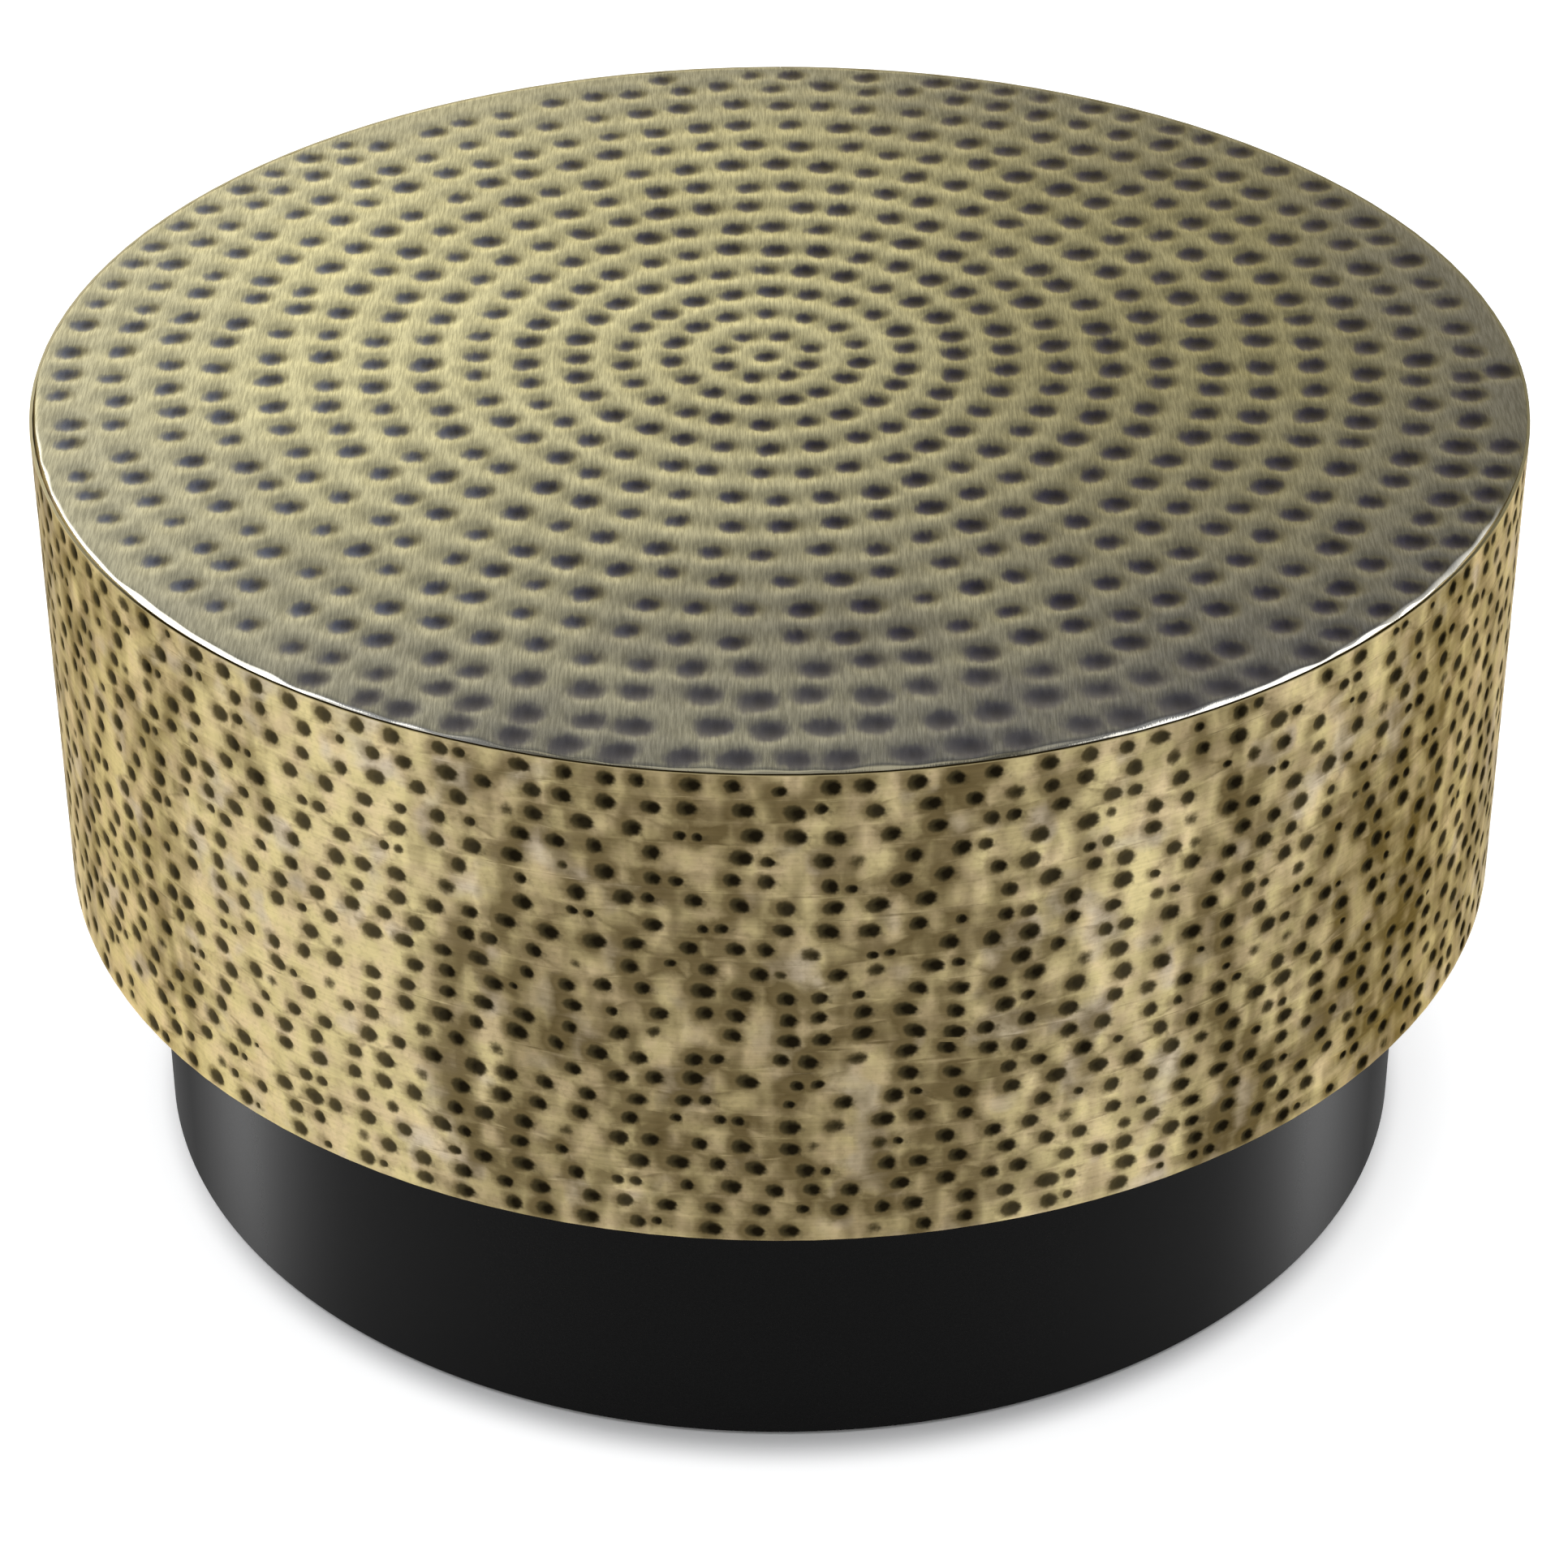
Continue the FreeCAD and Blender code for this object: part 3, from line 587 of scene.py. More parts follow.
def flat_sheet(columns, rows, width, height, gauge):
    """A flat sheet of cells with a thickness, its struck face at height 0 and facing up."""
    bm = bmesh.new()
    bmesh.ops.create_grid(bm, x_segments=columns, y_segments=rows, size=0.5)
    bmesh.ops.scale(bm, vec=(width, height, 1), verts=bm.verts)
    bmesh.ops.solidify(bm, geom=bm.faces[:], thickness=gauge)
    top = max(v.co.z for v in bm.verts)
    bmesh.ops.translate(bm, verts=bm.verts, vec=(0, 0, -top))
    bmesh.ops.recalc_face_normals(bm, faces=bm.faces)
    return bm


def line_height(line):
    """Height of a grid line above the sheet's lower edge. Each row has one at its foot and its head."""
    if line == 0:
        return 0.0
    if line == LINES:
        return SHEET_HEIGHT
    row, head = divmod(line - 1, 2)
    return (row + 1) * ROW_PITCH - JOIN / 2 if head else row * ROW_PITCH + JOIN / 2


sheet = flat_sheet(COLUMNS, LINES, SHEET_WIDTH, SHEET_HEIGHT, GAUGE)
for vertex in sheet.verts:
    line = round((vertex.co.y / SHEET_HEIGHT + 0.5) * LINES)
    vertex.co.y = line_height(line) - SHEET_HEIGHT / 2
cells = [f for f in sheet.faces if f.normal.z > 0.5 and f.calc_area() > 4 * JOIN * CELL_WIDTH]
borders = {e for f in cells for e in f.edges}
bmesh.ops.inset_individual(sheet, faces=cells, thickness=INSET, use_even_offset=True)
edges = list(borders | {e for f in cells for e in f.edges})
bmesh.ops.subdivide_edges(sheet, edges=edges, cuts=CUTS, use_grid_fill=True)
open_edges = sum(len(e.link_faces) != 2 for e in sheet.edges)
print("cells:", len(cells), "points:", len(sheet.verts), "open edges:", open_edges)

# %% [markdown]
# The stain that was brushed over the sheet was rubbed back by hand, well in some places and badly in
# others. The upright light and dark bands on the sheet are painted reflection: they stand for the room
# mirrored in the rolled brass, put into the colour as more or less stain. Noise gives the uneven part,
# and a short list puts the bands where the real table shows them.

# %% Say how far the stain was rubbed back
STAIN_SEED, NARROW_SEED = 285.27, 1.7
BROAD_ROUND, BROAD_UP, BROAD_SHARE = 7, 2, 0.70
NARROW_ROUND, NARROW_UP, NARROW_SHARE = 24, 6, 0.50
MEAN_RUB, BAND_WIDTH = 0.50, 0.030
# Each band: its place along the sheet, and how much darker it is painted, below 0 where it is painted lighter
STAIN_AND_REFLECTION_BANDS = [(-0.36, -0.16), (-0.31, 0.40), (-0.18, -0.14), (-0.02, 0.30), (0.07, 0.24), (0.145, -0.14),
               (0.22, 0.18), (0.38, -0.25)]


def rubbed_and_reflected(across, up):
    """How far the stain was rubbed back, plus painted reflection bands, 0 to 1, at a point of the flat sheet,
    the same at both its ends.
    """
    angle = across / SKIRT_RADIUS
    x = SKIRT_RADIUS * math.sin(angle)
    y = -SKIRT_RADIUS * math.cos(angle)
    z = up + SKIRT_HIGH.z - SHEET_HEIGHT / 2
    broad = noise.noise((x * BROAD_ROUND, y * BROAD_ROUND, z * BROAD_UP + STAIN_SEED))
    narrow = noise.noise((x * NARROW_ROUND, y * NARROW_ROUND, z * NARROW_UP + STAIN_SEED * NARROW_SEED))
    missed = sum(much * math.exp(-((across - place) / BAND_WIDTH) ** 2) for place, much in STAIN_AND_REFLECTION_BANDS)
    return clamp(MEAN_RUB + BROAD_SHARE * broad + NARROW_SHARE * narrow - missed)


print("rubbed back at the middle of the front:", round(rubbed_and_reflected(0, 0), 2))

# %% [markdown]
# Chance sets the place and size of each dent in its cell. Some dents are small or faint, some places were
# missed, and some were struck twice, which brings two neighbours together. Dents are a little larger where
# more of the stain stayed and where the painted reflection bands are dark.

# %% Plan one dent for each cell
random.seed(23)
SKIRT_DENT, STAINED_SIZE, CLEAN_LOSS = 0.0047, 1.04, 0.05
SIZES, LENGTHS, DEPTHS = (0.84, 1.06), (0.95, 1.30), (0.85, 1.0)
FAINT_CHANCE, FAINT_DEPTHS = 0.09, (0.0, 0.35, 0.55)
SMALL_CHANCE, SMALL_SIZES = 0.10, (0.50, 0.75)
TWICE_CHANCE, TWICE_SIZES = 0.13, (0.55, 0.85)
DRIFT_ALONG, DRIFT_UP = 0.0024, 0.0014
MOST_RAGGED = 1.09
HALF = Vector((CELL_WIDTH / 2 - INSET, (ROW_PITCH - JOIN) / 2 - INSET))


def cell_middle(column, row):
    """Middle of a cell of the flat sheet."""
    return Vector(((column + 0.5) * CELL_WIDTH - SHEET_WIDTH / 2, (row + 0.5) * ROW_PITCH - SHEET_HEIGHT / 2))


def dent_plan(clean):
    """Chance values of one dent: its place in the cell, size, length and depth."""
    size = SKIRT_DENT * random.uniform(*SIZES) * (STAINED_SIZE - CLEAN_LOSS * clean)
    length = random.uniform(*LENGTHS)
    depth = random.uniform(*DEPTHS)
    if random.random() < FAINT_CHANCE:
        depth = random.choice(FAINT_DEPTHS)
    if random.random() < SMALL_CHANCE:
        size *= random.uniform(*SMALL_SIZES)
    size = min(size, HALF.y / MOST_RAGGED)
    place = Vector((random.gauss(0, DRIFT_ALONG), random.gauss(0, DRIFT_UP)))
    return SimpleNamespace(place=place, size=size, length=length, depth=depth)


plans = {(c, r): dent_plan(rubbed_and_reflected(*cell_middle(c, r))) for c in range(COLUMNS) for r in range(ROWS)}
for column, row in plans:
    if column + 1 < COLUMNS and random.random() < TWICE_CHANCE:
        first, second = plans[column, row], plans[column + 1, row]
        first.place.x = HALF.x
        second.place = Vector((-HALF.x, first.place.y))
        second.size *= random.uniform(*TWICE_SIZES)
for plan in plans.values():
    room_x = HALF.x - MOST_RAGGED * plan.size * plan.length
    room_y = HALF.y - MOST_RAGGED * plan.size
    plan.place.x = max(-room_x, min(room_x, plan.place.x))
    plan.place.y = max(-room_y, min(room_y, plan.place.y))
row_slides = [random.uniform(-0.5, 0.5) * CELL_WIDTH for row in range(ROWS)]
print("faint or missed dents:", sum(plan.depth < DEPTHS[0] for plan in plans.values()))

# %% [markdown]
# The rows of the real sheet wander, because they were struck by eye. Each row slides along by its own
# amount and bends a little up and down, with the sheet's edges held. Stain also lies on the ground round
# each dent and fades away from it, set a little to one side as painted shade, so a search tree is made that
# finds the dents nearest to a point.

# %% Let the rows wander and the stain fade
END_HOLD = 0.03
SLIDE_WAVE, SLIDE_SCALE, SLIDE_STEP, SLIDE_SEED = 0.004, 10, 3.7, 1.3
RISE_WAVE, RISE_ALONG, RISE_UP, RISE_SEED = 0.0070, 19, 9, 7.7
# The halo is set a little to the left and up from each dent, as painted shade on one side.
HALO_REACH, HALO_SHADE_SIDE, HALO_SHADE_UP = 0.0065, -0.0012, 0.0004
NEAREST_DENTS = 3


def drifted(point, row):
    """A point of the sheet after its row has slid and drifted, with the sheet's edges held."""
    ends = min(1.0, (SHEET_WIDTH / 2 - abs(point.x)) / END_HOLD)
    hold = 1 - (2 * point.y / SHEET_HEIGHT) ** 2
    slide = row_slides[row] + SLIDE_WAVE * noise.noise((point.x * SLIDE_SCALE, row * SLIDE_STEP, SLIDE_SEED))
    rise = RISE_WAVE * noise.noise((point.x * RISE_ALONG, point.y * RISE_UP, RISE_SEED))
    return point + Vector((slide * ends, rise * hold))


struck = list(plans.values())
middles = kdtree.KDTree(len(struck))
for index, ((column, row), plan) in enumerate(plans.items()):
    spot = drifted(cell_middle(column, row) + plan.place, row)
    middles.insert((spot.x + HALO_SHADE_SIDE, spot.y + HALO_SHADE_UP, 0), index)
middles.balance()


def halo_at(point):
    """Stain left on the ground at a point of the sheet, which fades away from the dents' edges; it is set a
    little to one side as painted shade.
    """
    most = 0.0
    for co, index, distance in middles.find_n((point.x, point.y, 0), NEAREST_DENTS):
        plan = struck[index]
        most = max(most, plan.depth * (1 - (distance - plan.size) / HALO_REACH))
    return min(1.0, most)


print("dents in the search tree:", len(struck))

# %% [markdown]
# Inside a cell the cut points form square rings around its middle. Each ring is moved onto an oval and the
# inner rings sink. Four numbers go to the finish: dent and pool as on the top, the pool being painted shade
# on one side, halo for the stain that fades away from the dents' edges, which leans to one side as painted
# shade, and rub for how far the stain was rubbed back, together with the painted reflection bands.

# %% Strike the dents into the sheet
SKIRT_DEPTH = 0.0009
SKIRT_CLEAR, SKIRT_WAVE, SKIRT_WAVE_SCALE, SKIRT_WAVE_SEED = 0.00012, 0.00012, 40, 2.2
RAGGED_OVAL, OVAL_COLUMN_STEP, OVAL_ROW_STEP, OVAL_SEED = 0.18, 3.1, 5.3, 0.5
# The pool and the halo's lean put painted shade on one side of each dent.
SKIRT_POOL_SHADE = Vector((0.34, -0.10))
HALO_INSIDE, HALO_SHADE_LEAN = 0.76, 0.24
LAST_RING = 1.001

dent_layer = sheet.verts.layers.float.new("dent")
halo_layer = sheet.verts.layers.float.new("halo")
pool_shade_layer = sheet.verts.layers.float.new("pool")
rub_and_reflection_layer = sheet.verts.layers.float.new("rub")
for vertex in sheet.verts:
    flat = vertex.co.to_2d()
    row = min(int((flat.y + SHEET_HEIGHT / 2) / ROW_PITCH), ROWS - 1)
    column = min(int((flat.x + SHEET_WIDTH / 2) / CELL_WIDTH), COLUMNS - 1)
    middle = cell_middle(column, row)
    local = Vector(((flat.x - middle.x) / HALF.x, (flat.y - middle.y) / HALF.y))
    ring = max(abs(local.x), abs(local.y))
    inside = vertex.co.z < -TINY
    if inside or ring > LAST_RING:
        vertex.co.x, vertex.co.y = drifted(flat, row)
        vertex[halo_layer] = 0.0 if inside else halo_at(vertex.co)
    else:
        plan = plans[column, row]
        turn = math.atan2(local.y, local.x)
        heading = Vector((math.cos(turn), math.sin(turn)))
        chance = (heading.x + column * OVAL_COLUMN_STEP, heading.y + row * OVAL_ROW_STEP, OVAL_SEED)
        ragged = min(1 + RAGGED_OVAL * noise.noise(chance), MOST_RAGGED)
        oval = Vector((heading.x * plan.length, heading.y)) * (plan.size * ring * ragged)
        vertex.co.x, vertex.co.y = drifted(middle + plan.place + oval, row)
        vertex.co.z = -SKIRT_DEPTH * plan.depth * bowl(ring)
        vertex[dent_layer] = plan.depth * (1 - ring)
        vertex[halo_layer] = max(plan.depth * (HALO_INSIDE - HALO_SHADE_LEAN * heading.x), halo_at(vertex.co))
        vertex[pool_shade_layer] = plan.depth * max(0.0, 1 - (heading * ring - SKIRT_POOL_SHADE).length)
    vertex[rub_and_reflection_layer] = 1.0 if inside else rubbed_and_reflected(vertex.co.x, vertex.co.y)
    if vertex.co.z > -GAUGE + TINY:
        wavy = (vertex.co.x * SKIRT_WAVE_SCALE, vertex.co.y * SKIRT_WAVE_SCALE, SKIRT_WAVE_SEED)
        vertex.co.z -= SKIRT_CLEAR + SKIRT_WAVE * noise.noise(wavy)
print("points in dents:", sum(v[dent_layer] > 0 for v in sheet.verts))

# %% [markdown]
# Last, the sheet is rolled up, as a maker would do between rollers. A modifier could bend it, but a short
# formula keeps the radius exact: the way along the sheet becomes an angle about the table's axis.

# %% Roll the sheet up
def roll_up(bm, radius, middle):
    """Roll a flat sheet about the table's axis, its middle at the front and its ends at the back."""
    for vertex in bm.verts:
        angle = vertex.co.x / radius
        reach = radius + vertex.co.z
        vertex.co = (reach * math.sin(angle), -reach * math.cos(angle), vertex.co.y + middle)


roll_up(sheet, SKIRT_RADIUS, (SKIRT_LOW.z + SKIRT_HIGH.z) / 2)
bmesh.ops.recalc_face_normals(sheet, faces=sheet.faces)
print("rolled sheet:", round(SHEET_WIDTH, 4), "by", round(SHEET_HEIGHT, 4), "m")

# %% [markdown]
# ## Finish of the skirt
# The skirt is a warmer tan gold. Brown stain lies on it in soft upright bands and blots, most of it round
# the dents, and faint scratches run round the drum. The upright bands are partly stain and partly painted
# reflection of the room in the rolled brass. The bands and scratches need a measure along the sheet,
# which the angle about the table's axis gives.

# %% Stained tan ground of the skirt
TAN, WARM_TAN, PALE_PATCH = (0.56, 0.474, 0.243), (0.57, 0.457, 0.270), (0.45, 0.396, 0.337)
STAIN_AND_BAND_BROWN, BLOT_BROWN = (0.160, 0.120, 0.057), (0.085, 0.062, 0.026)
HALO_BROWN, SKIN_BROWN = (0.082, 0.059, 0.024), (0.125, 0.094, 0.043)

skirt_metal, tree, shader = new_material("skirt_brass")
coords = add(tree, "ShaderNodeTexCoord").outputs["Object"]
axes = add(tree, "ShaderNodeSeparateXYZ", {"Vector": coords}).outputs
forward = maths(tree, "MULTIPLY", axes["Y"], -1.0)
along = maths(tree, "MULTIPLY", maths(tree, "ARCTAN2", axes["X"], forward), SKIRT_RADIUS)
flat = add(tree, "ShaderNodeCombineXYZ", {"X": along, "Y": axes["Z"]}).outputs["Vector"]
scratch = stretched_noise(tree, (14, 700, 1), 1.0, detail=3.0, roughness=0.6, vector=flat)
patches = stretched_noise(tree, (1, 1, 1), 38.0)
warm = stretched_noise(tree, (1, 1, 1), 75.0)
ground = mix(tree, levels(tree, warm, (0.40, 0.0), (0.65, 1.0)), TAN, WARM_TAN)
ground = mix(tree, levels(tree, patches, (0.56, 0.0), (0.68, 0.6)), ground, PALE_PATCH)

rub = attribute(tree, "rub")
cloud = stretched_noise(tree, (66, 20, 1), 1.0, vector=flat)
sway = remap(tree, cloud, 0.25, 0.75, -0.36, 0.36)
rubbed_with_bands = maths(tree, "ADD", rub, sway)
# Brown where the rub number is low: stain, and the dark bands of painted reflection.
ground = mix(tree, levels(tree, rubbed_with_bands, (0.05, 0.66), (0.45, 0.36), (0.78, 0.0)), ground, STAIN_AND_BAND_BROWN)
spots = stretched_noise(tree, (84, 42, 1), 1.0, detail=1.0, vector=flat)
blot = levels(tree, spots, (0.50, 0.0), (0.74, 0.75))
ground = mix(tree, times(tree, blot, levels(tree, rub, (0.25, 1.0), (0.85, 0.25))), ground, BLOT_BROWN)

halo = attribute(tree, "halo")
uneven = remap(tree, stretched_noise(tree, (1, 1, 1), 420.0), 0.0, 1.0, -0.12, 0.12)
clump = stretched_noise(tree, (44, 34, 1), 1.0, detail=1.0, vector=flat)
wet = remap(tree, clump, 0.32, 0.68, -0.36, 0.36)
patchy = maths(tree, "ADD", maths(tree, "MULTIPLY_ADD", sway, -0.7, halo), wet)
around = levels(tree, maths(tree, "ADD", patchy, uneven), (0.06, 0.0), (0.58, 0.46), (1.0, 0.95))
spread = levels(tree, rub, (0.15, 1.0), (0.70, 0.44), (0.95, 0.20))
ground = mix(tree, times(tree, around, spread), ground, HALO_BROWN)
skin = levels(tree, maths(tree, "ADD", halo, uneven), (0.66, 0.0), (1.0, 0.58))
ground = mix(tree, skin, ground, SKIN_BROWN)
ground = times(tree, ground, levels(tree, scratch, (0.30, 0.93), (0.70, 1.08)))
print("nodes in the ground of the skirt:", len(tree.nodes))

# %% [markdown]
# The dents were blackened and hardly rubbed. Each has a brown fringe, a dark core and a black pool at one
# side, the pool being painted shade, all a little paler where the rub number is high, which follows the
# rubbing and the painted reflection bands. The stain in them is matt, so the metal fades out towards their
# middle and they stay dark from every side.

# %% Blackened dents of the skirt
DENT_BROWN = (0.085, 0.064, 0.027)
STAINED_CORE, CLEAN_CORE = (0.038, 0.030, 0.013), (0.080, 0.062, 0.028)
# The pool colours are painted shade on one side of each dent.
STAINED_POOL_SHADE, CLEAN_POOL_SHADE = (0.008, 0.006, 0.003), (0.055, 0.044, 0.022)

hollow = maths(tree, "ADD", attribute(tree, "dent"), uneven)
shaded_puddle = maths(tree, "ADD", attribute(tree, "pool"), uneven)
brown = levels(tree, hollow, (0.0, 0.0), (0.20, 0.64), (0.40, 0.92))
colour = mix(tree, brown, ground, DENT_BROWN)
core = levels(tree, hollow, (0.10, 0.0), (0.36, 0.78), (0.58, 1.0))
colour = mix(tree, core, colour, ramp(tree, rubbed_with_bands, [(0.35, STAINED_CORE), (0.95, CLEAN_CORE)]))
pool_shade = levels(tree, shaded_puddle, (0.22, 0.0), (0.54, 0.95))
colour = mix(tree, pool_shade, colour, ramp(tree, rubbed_with_bands, [(0.30, STAINED_POOL_SHADE), (0.95, CLEAN_POOL_SHADE)]))
metal = levels(tree, hollow, (0.08, 0.92), (0.28, 0.40), (0.46, 0.0))
tree.links.new(metal, shader.inputs["Metallic"])
gloss = levels(tree, scratch, (0.25, 0.46), (0.75, 0.38))
tree.links.new(mix(tree, core, gloss, grey(0.85)), shader.inputs["Roughness"])
shader.inputs["Specular Tint"].default_value = (0.66, 0.57, 0.41, 1)
shader.inputs["Specular IOR Level"].default_value = 0.0
fine_bump(tree, shader, scratch, 0.08, 0.0004)
print("nodes with the dents:", len(tree.nodes))

# %% [markdown]
# The skirt's upper edge shows as a thin ring around the top. At the sides and the back it is coloured like
# the top beside it, painted pale on the left and darker on the right as painted light from the left. At the
# front the joint between it and the rolled edge is painted near black, a painted shadow in the gap.

# %% Upper edge of the skirt
# Pale on the left and dark on the right is painted light; the joint colours paint the shadow in the gap.
EDGE_LIT_LEFT, EDGE_SHADED_RIGHT = (0.60, 0.54, 0.34), (0.30, 0.27, 0.16)
JOINT_SHADOW_OUTER, JOINT_SHADOW_INNER = (0.28, 0.23, 0.12), (0.006, 0.005, 0.003)
LIP_START, LIP_FULL = 0.0005, 0.0001
JOINT_START, JOINT_FULL = 0.0003, 0.0005

lip = remap(tree, axes["Z"], SKIRT_HIGH.z - LIP_START, SKIRT_HIGH.z - LIP_FULL)
outward = add(tree, "ShaderNodeCombineXYZ", {"X": axes["X"], "Y": axes["Y"]}).outputs["Vector"]
inner = remap(tree, vector_length(tree, outward), SKIRT_RADIUS - JOINT_START, SKIRT_RADIUS - JOINT_FULL)
joint_shadow = mix(tree, inner, JOINT_SHADOW_OUTER, JOINT_SHADOW_INNER)
upper = mix(tree, remap(tree, axes["X"], -0.2, 0.3), EDGE_LIT_LEFT, EDGE_SHADED_RIGHT)
ahead = remap(tree, forward, 0.12, 0.22)
colour = mix(tree, lip, colour, mix(tree, ahead, upper, joint_shadow))
tree.links.new(colour, shader.inputs["Base Color"])
make_piece("hammered_skirt", sheet, "skirt", skirt_metal)

# %% [markdown]
# ## The plinth
# The plinth is a plain sheet rolled the same way and coated satin black. A powder coat is never quite even,
# so a very fine grain breaks up its gloss. Where the wall turns away from the eye it looks duller, which a
# rougher gloss at a low angle gives.

# %% Roll the plinth and coat it
PLINTH_LOW, PLINTH_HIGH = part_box("plinth_wall")
PLINTH_RADIUS = min(PLINTH_HIGH.x, PLINTH_HIGH.y, -PLINTH_LOW.x, -PLINTH_LOW.y)
PLINTH_COLUMNS, PLINTH_ROWS = 240, 3
COAT_DARK, COAT_LIGHT = 0.0015, 0.0030

plinth_width = 2 * math.pi * PLINTH_RADIUS - SEAM
wall = flat_sheet(PLINTH_COLUMNS, PLINTH_ROWS, plinth_width, PLINTH_HIGH.z - PLINTH_LOW.z, GAUGE)
roll_up(wall, PLINTH_RADIUS, (PLINTH_LOW.z + PLINTH_HIGH.z) / 2)
bmesh.ops.recalc_face_normals(wall, faces=wall.faces)

plinth_coat, tree, shader = new_material("satin_black")
grain = stretched_noise(tree, (1, 1, 1), 900.0)
tree.links.new(levels(tree, grain, (0.3, COAT_DARK), (0.7, COAT_LIGHT)), shader.inputs["Base Color"])
facing = add(tree, "ShaderNodeLayerWeight", {"Blend": 0.5}).outputs["Facing"]
dull = levels(tree, facing, (0.60, 0.0), (0.82, 1.0))
gloss = mix(tree, dull, levels(tree, grain, (0.3, 0.20), (0.7, 0.26)), grey(0.80))
tree.links.new(gloss, shader.inputs["Roughness"])
shader.inputs["Specular IOR Level"].default_value = 0.055
fine_bump(tree, shader, grain, 0.04, 0.0002)
make_piece("plinth_shell", wall, "plinth_wall", plinth_coat)

# %% [markdown]
# ## Hidden pieces
# The hoops, stays, rails, boards and fixings keep their CAD shapes. They show only from below, but each
# still gets the finish of its real counterpart. One speckled recipe, with other colours each time, is
# enough for them.

# %% Finishes of the hidden pieces
def plain_finish(name, dark, light, size, metallic, rough):
    """A speckled finish between two colours."""
    material, tree, shader = new_material(name)
    speck = stretched_noise(tree, (1, 1, 1), size, detail=4.0, roughness=0.6)
    tree.links.new(ramp(tree, speck, [(0.3, dark), (0.7, light)]), shader.inputs["Base Color"])
    tree.links.new(levels(tree, speck, (0.3, rough), (0.7, rough + 0.12)), shader.inputs["Roughness"])
    shader.inputs["Metallic"].default_value = metallic
    fine_bump(tree, shader, speck, 0.08, 0.0003)
    return material


finishes = {
    "plinth_black": plinth_coat,
    "frame_steel": plain_finish("primed_steel", grey(0.015), grey(0.030), 260.0, 0.0, 0.50),
    "board": plain_finish("stained_board", (0.020, 0.017, 0.014), (0.045, 0.038, 0.030), 420.0, 0.0, 0.75),
    "hardware": plain_finish("zinc_plate", (0.42, 0.42, 0.40), (0.60, 0.60, 0.57), 700.0, 1.0, 0.32),
    "glide_plastic": plain_finish("black_nylon", grey(0.010), grey(0.018), 500.0, 0.0, 0.45),
}
for subpart in frame["record"]["subparts"]:
    finish = finishes.get(subpart["material_slot"])
    if finish:
        node = nodes[subpart["node"]]
        node.data.materials.clear()
        node.data.materials.append(finish)
print("finishes on CAD nodes:", sorted(finishes))

# %% [markdown]
# ## Studio
# A pale floor, a soft world and a few large lamps stand in for a light tent. The floor glows a little for
# the camera and for reflections only, which takes it to white and leaves the table's own light alone. What
# the camera sees of the glow fades out close to the plinth, so the shadow where the table stands is kept. A
# stronger glow beside the plinth, which shows only in reflections, does what white cards do in a studio: it
# gives the black coat a soft light band on each side.

# %% Floor
FLOOR_SIZE = 15.0
FLOOR_GLOW = 0.54
GLOW_FADE = 0.026
CARD_GLOW, CARD_INNER, CARD_OUTER = 1.55, 0.46, 0.50
CARD_FRONT, CARD_FULL = -0.25, -0.11
GLOW_SHAPE = (1.05, 1.0, 1.0)

floor_mesh = bmesh.new()
bmesh.ops.create_grid(floor_mesh, x_segments=1, y_segments=1, size=FLOOR_SIZE)
floor_data = bpy.data.meshes.new("floor")
floor_mesh.to_mesh(floor_data)
floor_mesh.free()
floor = bpy.data.objects.new("floor", floor_data)
bpy.context.scene.collection.objects.link(floor)

floor_paint, tree, shader = new_material("pale_floor")
shader.inputs["Base Color"].default_value = (0.85, 0.85, 0.85, 1)
shader.inputs["Roughness"].default_value = 0.9
shader.inputs["Specular IOR Level"].default_value = 0.0
rays = add(tree, "ShaderNodeLightPath").outputs
mirrored = maths(tree, "MAXIMUM", rays["Is Glossy Ray"], rays["Is Transmission Ray"])
spot = add(tree, "ShaderNodeTexCoord").outputs["Object"]
wide = add(tree, "ShaderNodeMapping", {"Vector": spot, "Scale": GLOW_SHAPE}).outputs["Vector"]
away = vector_length(tree, wide)
fade = remap(tree, away, PLINTH_RADIUS, PLINTH_RADIUS + GLOW_FADE, way="SMOOTHSTEP")
direct = maths(tree, "MULTIPLY", rays["Is Camera Ray"], fade)
seen = maths(tree, "MAXIMUM", mirrored, direct)
back = add(tree, "ShaderNodeSeparateXYZ", {"Vector": spot}).outputs["Y"]
beside = remap(tree, back, CARD_FRONT, CARD_FULL, way="SMOOTHSTEP")
card = maths(tree, "MULTIPLY", beside, remap(tree, away, CARD_OUTER, CARD_INNER, to_high=CARD_GLOW))
glow = maths(tree, "MULTIPLY_ADD", seen, FLOOR_GLOW, maths(tree, "MULTIPLY", card, mirrored))
shader.inputs["Emission Color"].default_value = (1, 1, 1, 1)
tree.links.new(glow, shader.inputs["Emission Strength"])
floor_data.materials.append(floor_paint)
print("floor:", 2 * FLOOR_SIZE, "m wide")

# %% [markdown]
# The world is darker overhead than near the floor, as in a tent, and stronger on the left, which gives the
# drum its light and dark side. The camera itself sees plain white.

# %% World
SKY = [(0.0, grey(1.45)), (0.26, grey(1.25)), (0.55, grey(0.68)), (0.80, (0.25, 0.26, 0.29)),
       (0.91, (0.20, 0.21, 0.24)), (0.96, grey(0.60)), (1.0, grey(0.66))]
LEFT_SKY, RIGHT_SKY = 1.22, 0.74

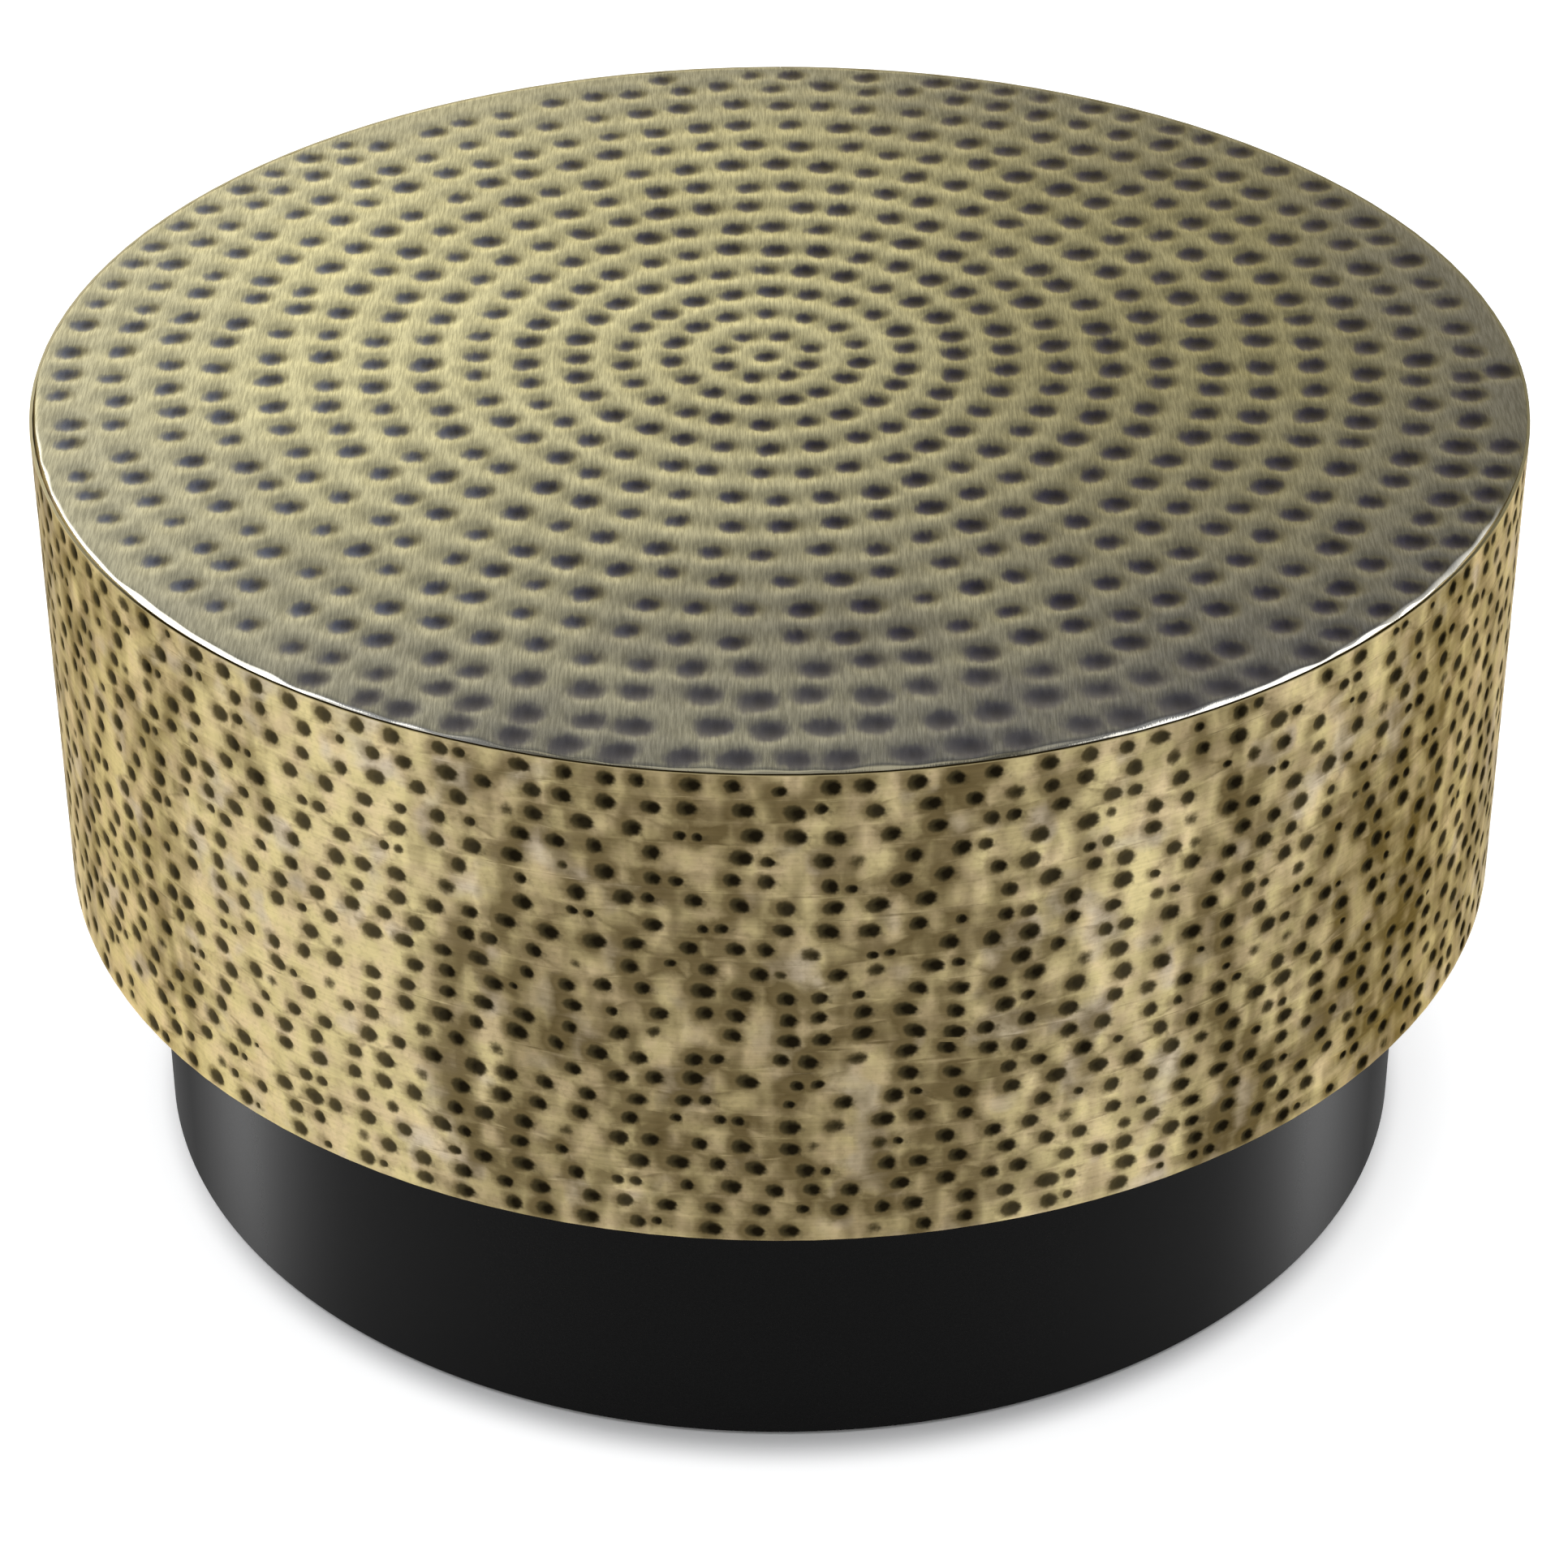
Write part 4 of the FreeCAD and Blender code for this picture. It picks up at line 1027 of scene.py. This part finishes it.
world = bpy.data.worlds.new("studio")
bpy.context.scene.world = world
world.use_nodes = True
tree = world.node_tree
background = tree.nodes["Background"]
direction = add(tree, "ShaderNodeTexCoord").outputs["Generated"]
axes = add(tree, "ShaderNodeSeparateXYZ", {"Vector": direction}).outputs
tree.links.new(ramp(tree, axes["Z"], SKY), background.inputs["Color"])
tree.links.new(remap(tree, axes["X"], -0.5, 0.5, LEFT_SKY, RIGHT_SKY), background.inputs["Strength"])
white = add(tree, "ShaderNodeBackground", {"Color": (1, 1, 1, 1), "Strength": 1.0})
camera_ray = add(tree, "ShaderNodeLightPath").outputs["Is Camera Ray"]
both = add(tree, "ShaderNodeMixShader", {0: camera_ray, 1: background.outputs[0], 2: white.outputs[0]})
tree.links.new(both.outputs[0], tree.nodes["World Output"].inputs["Surface"])
print("shades of the sky:", len(SKY))

# %% [markdown]
# Two soft boxes make the white lines on the rolled edge and one in front lifts the top. They light by
# reflection only. The ceiling lamp lights the floor and deepens the shadow under the table, and it shows in
# no reflection.

# %% Lamps
BELOW_TOP = (0, 0, 0.35)
TOP_FRONT = (0, -0.35, 0.39)


def softbox(name, place, aim, width, height, power):
    """A rectangular lamp that faces a point."""
    lamp = bpy.data.lights.new(name, "AREA")
    lamp.shape = "RECTANGLE"
    lamp.size = width
    lamp.size_y = height
    lamp.energy = power
    box = bpy.data.objects.new(name, lamp)
    box.location = place
    box.rotation_euler = (Vector(aim) - Vector(place)).to_track_quat("-Z", "Y").to_euler()
    bpy.context.scene.collection.objects.link(box)
    return box


left_box = softbox("left_box", (-1.86, 0.38, 1.40), BELOW_TOP, 1.75, 2.1, 12.7)
right_box = softbox("right_box", (1.84, -0.18, 1.45), BELOW_TOP, 1.5, 2.2, 11.4)
front_box = softbox("front_box", (0, -1.13, 2.55), TOP_FRONT, 1.2, 2.0, 3.0)
for box in (left_box, right_box, front_box):
    box.visible_diffuse = False
ceiling = softbox("ceiling", (0, 0, 3.0), (0, 0, 0), 4.0, 4.0, 80)
ceiling.visible_glossy = False
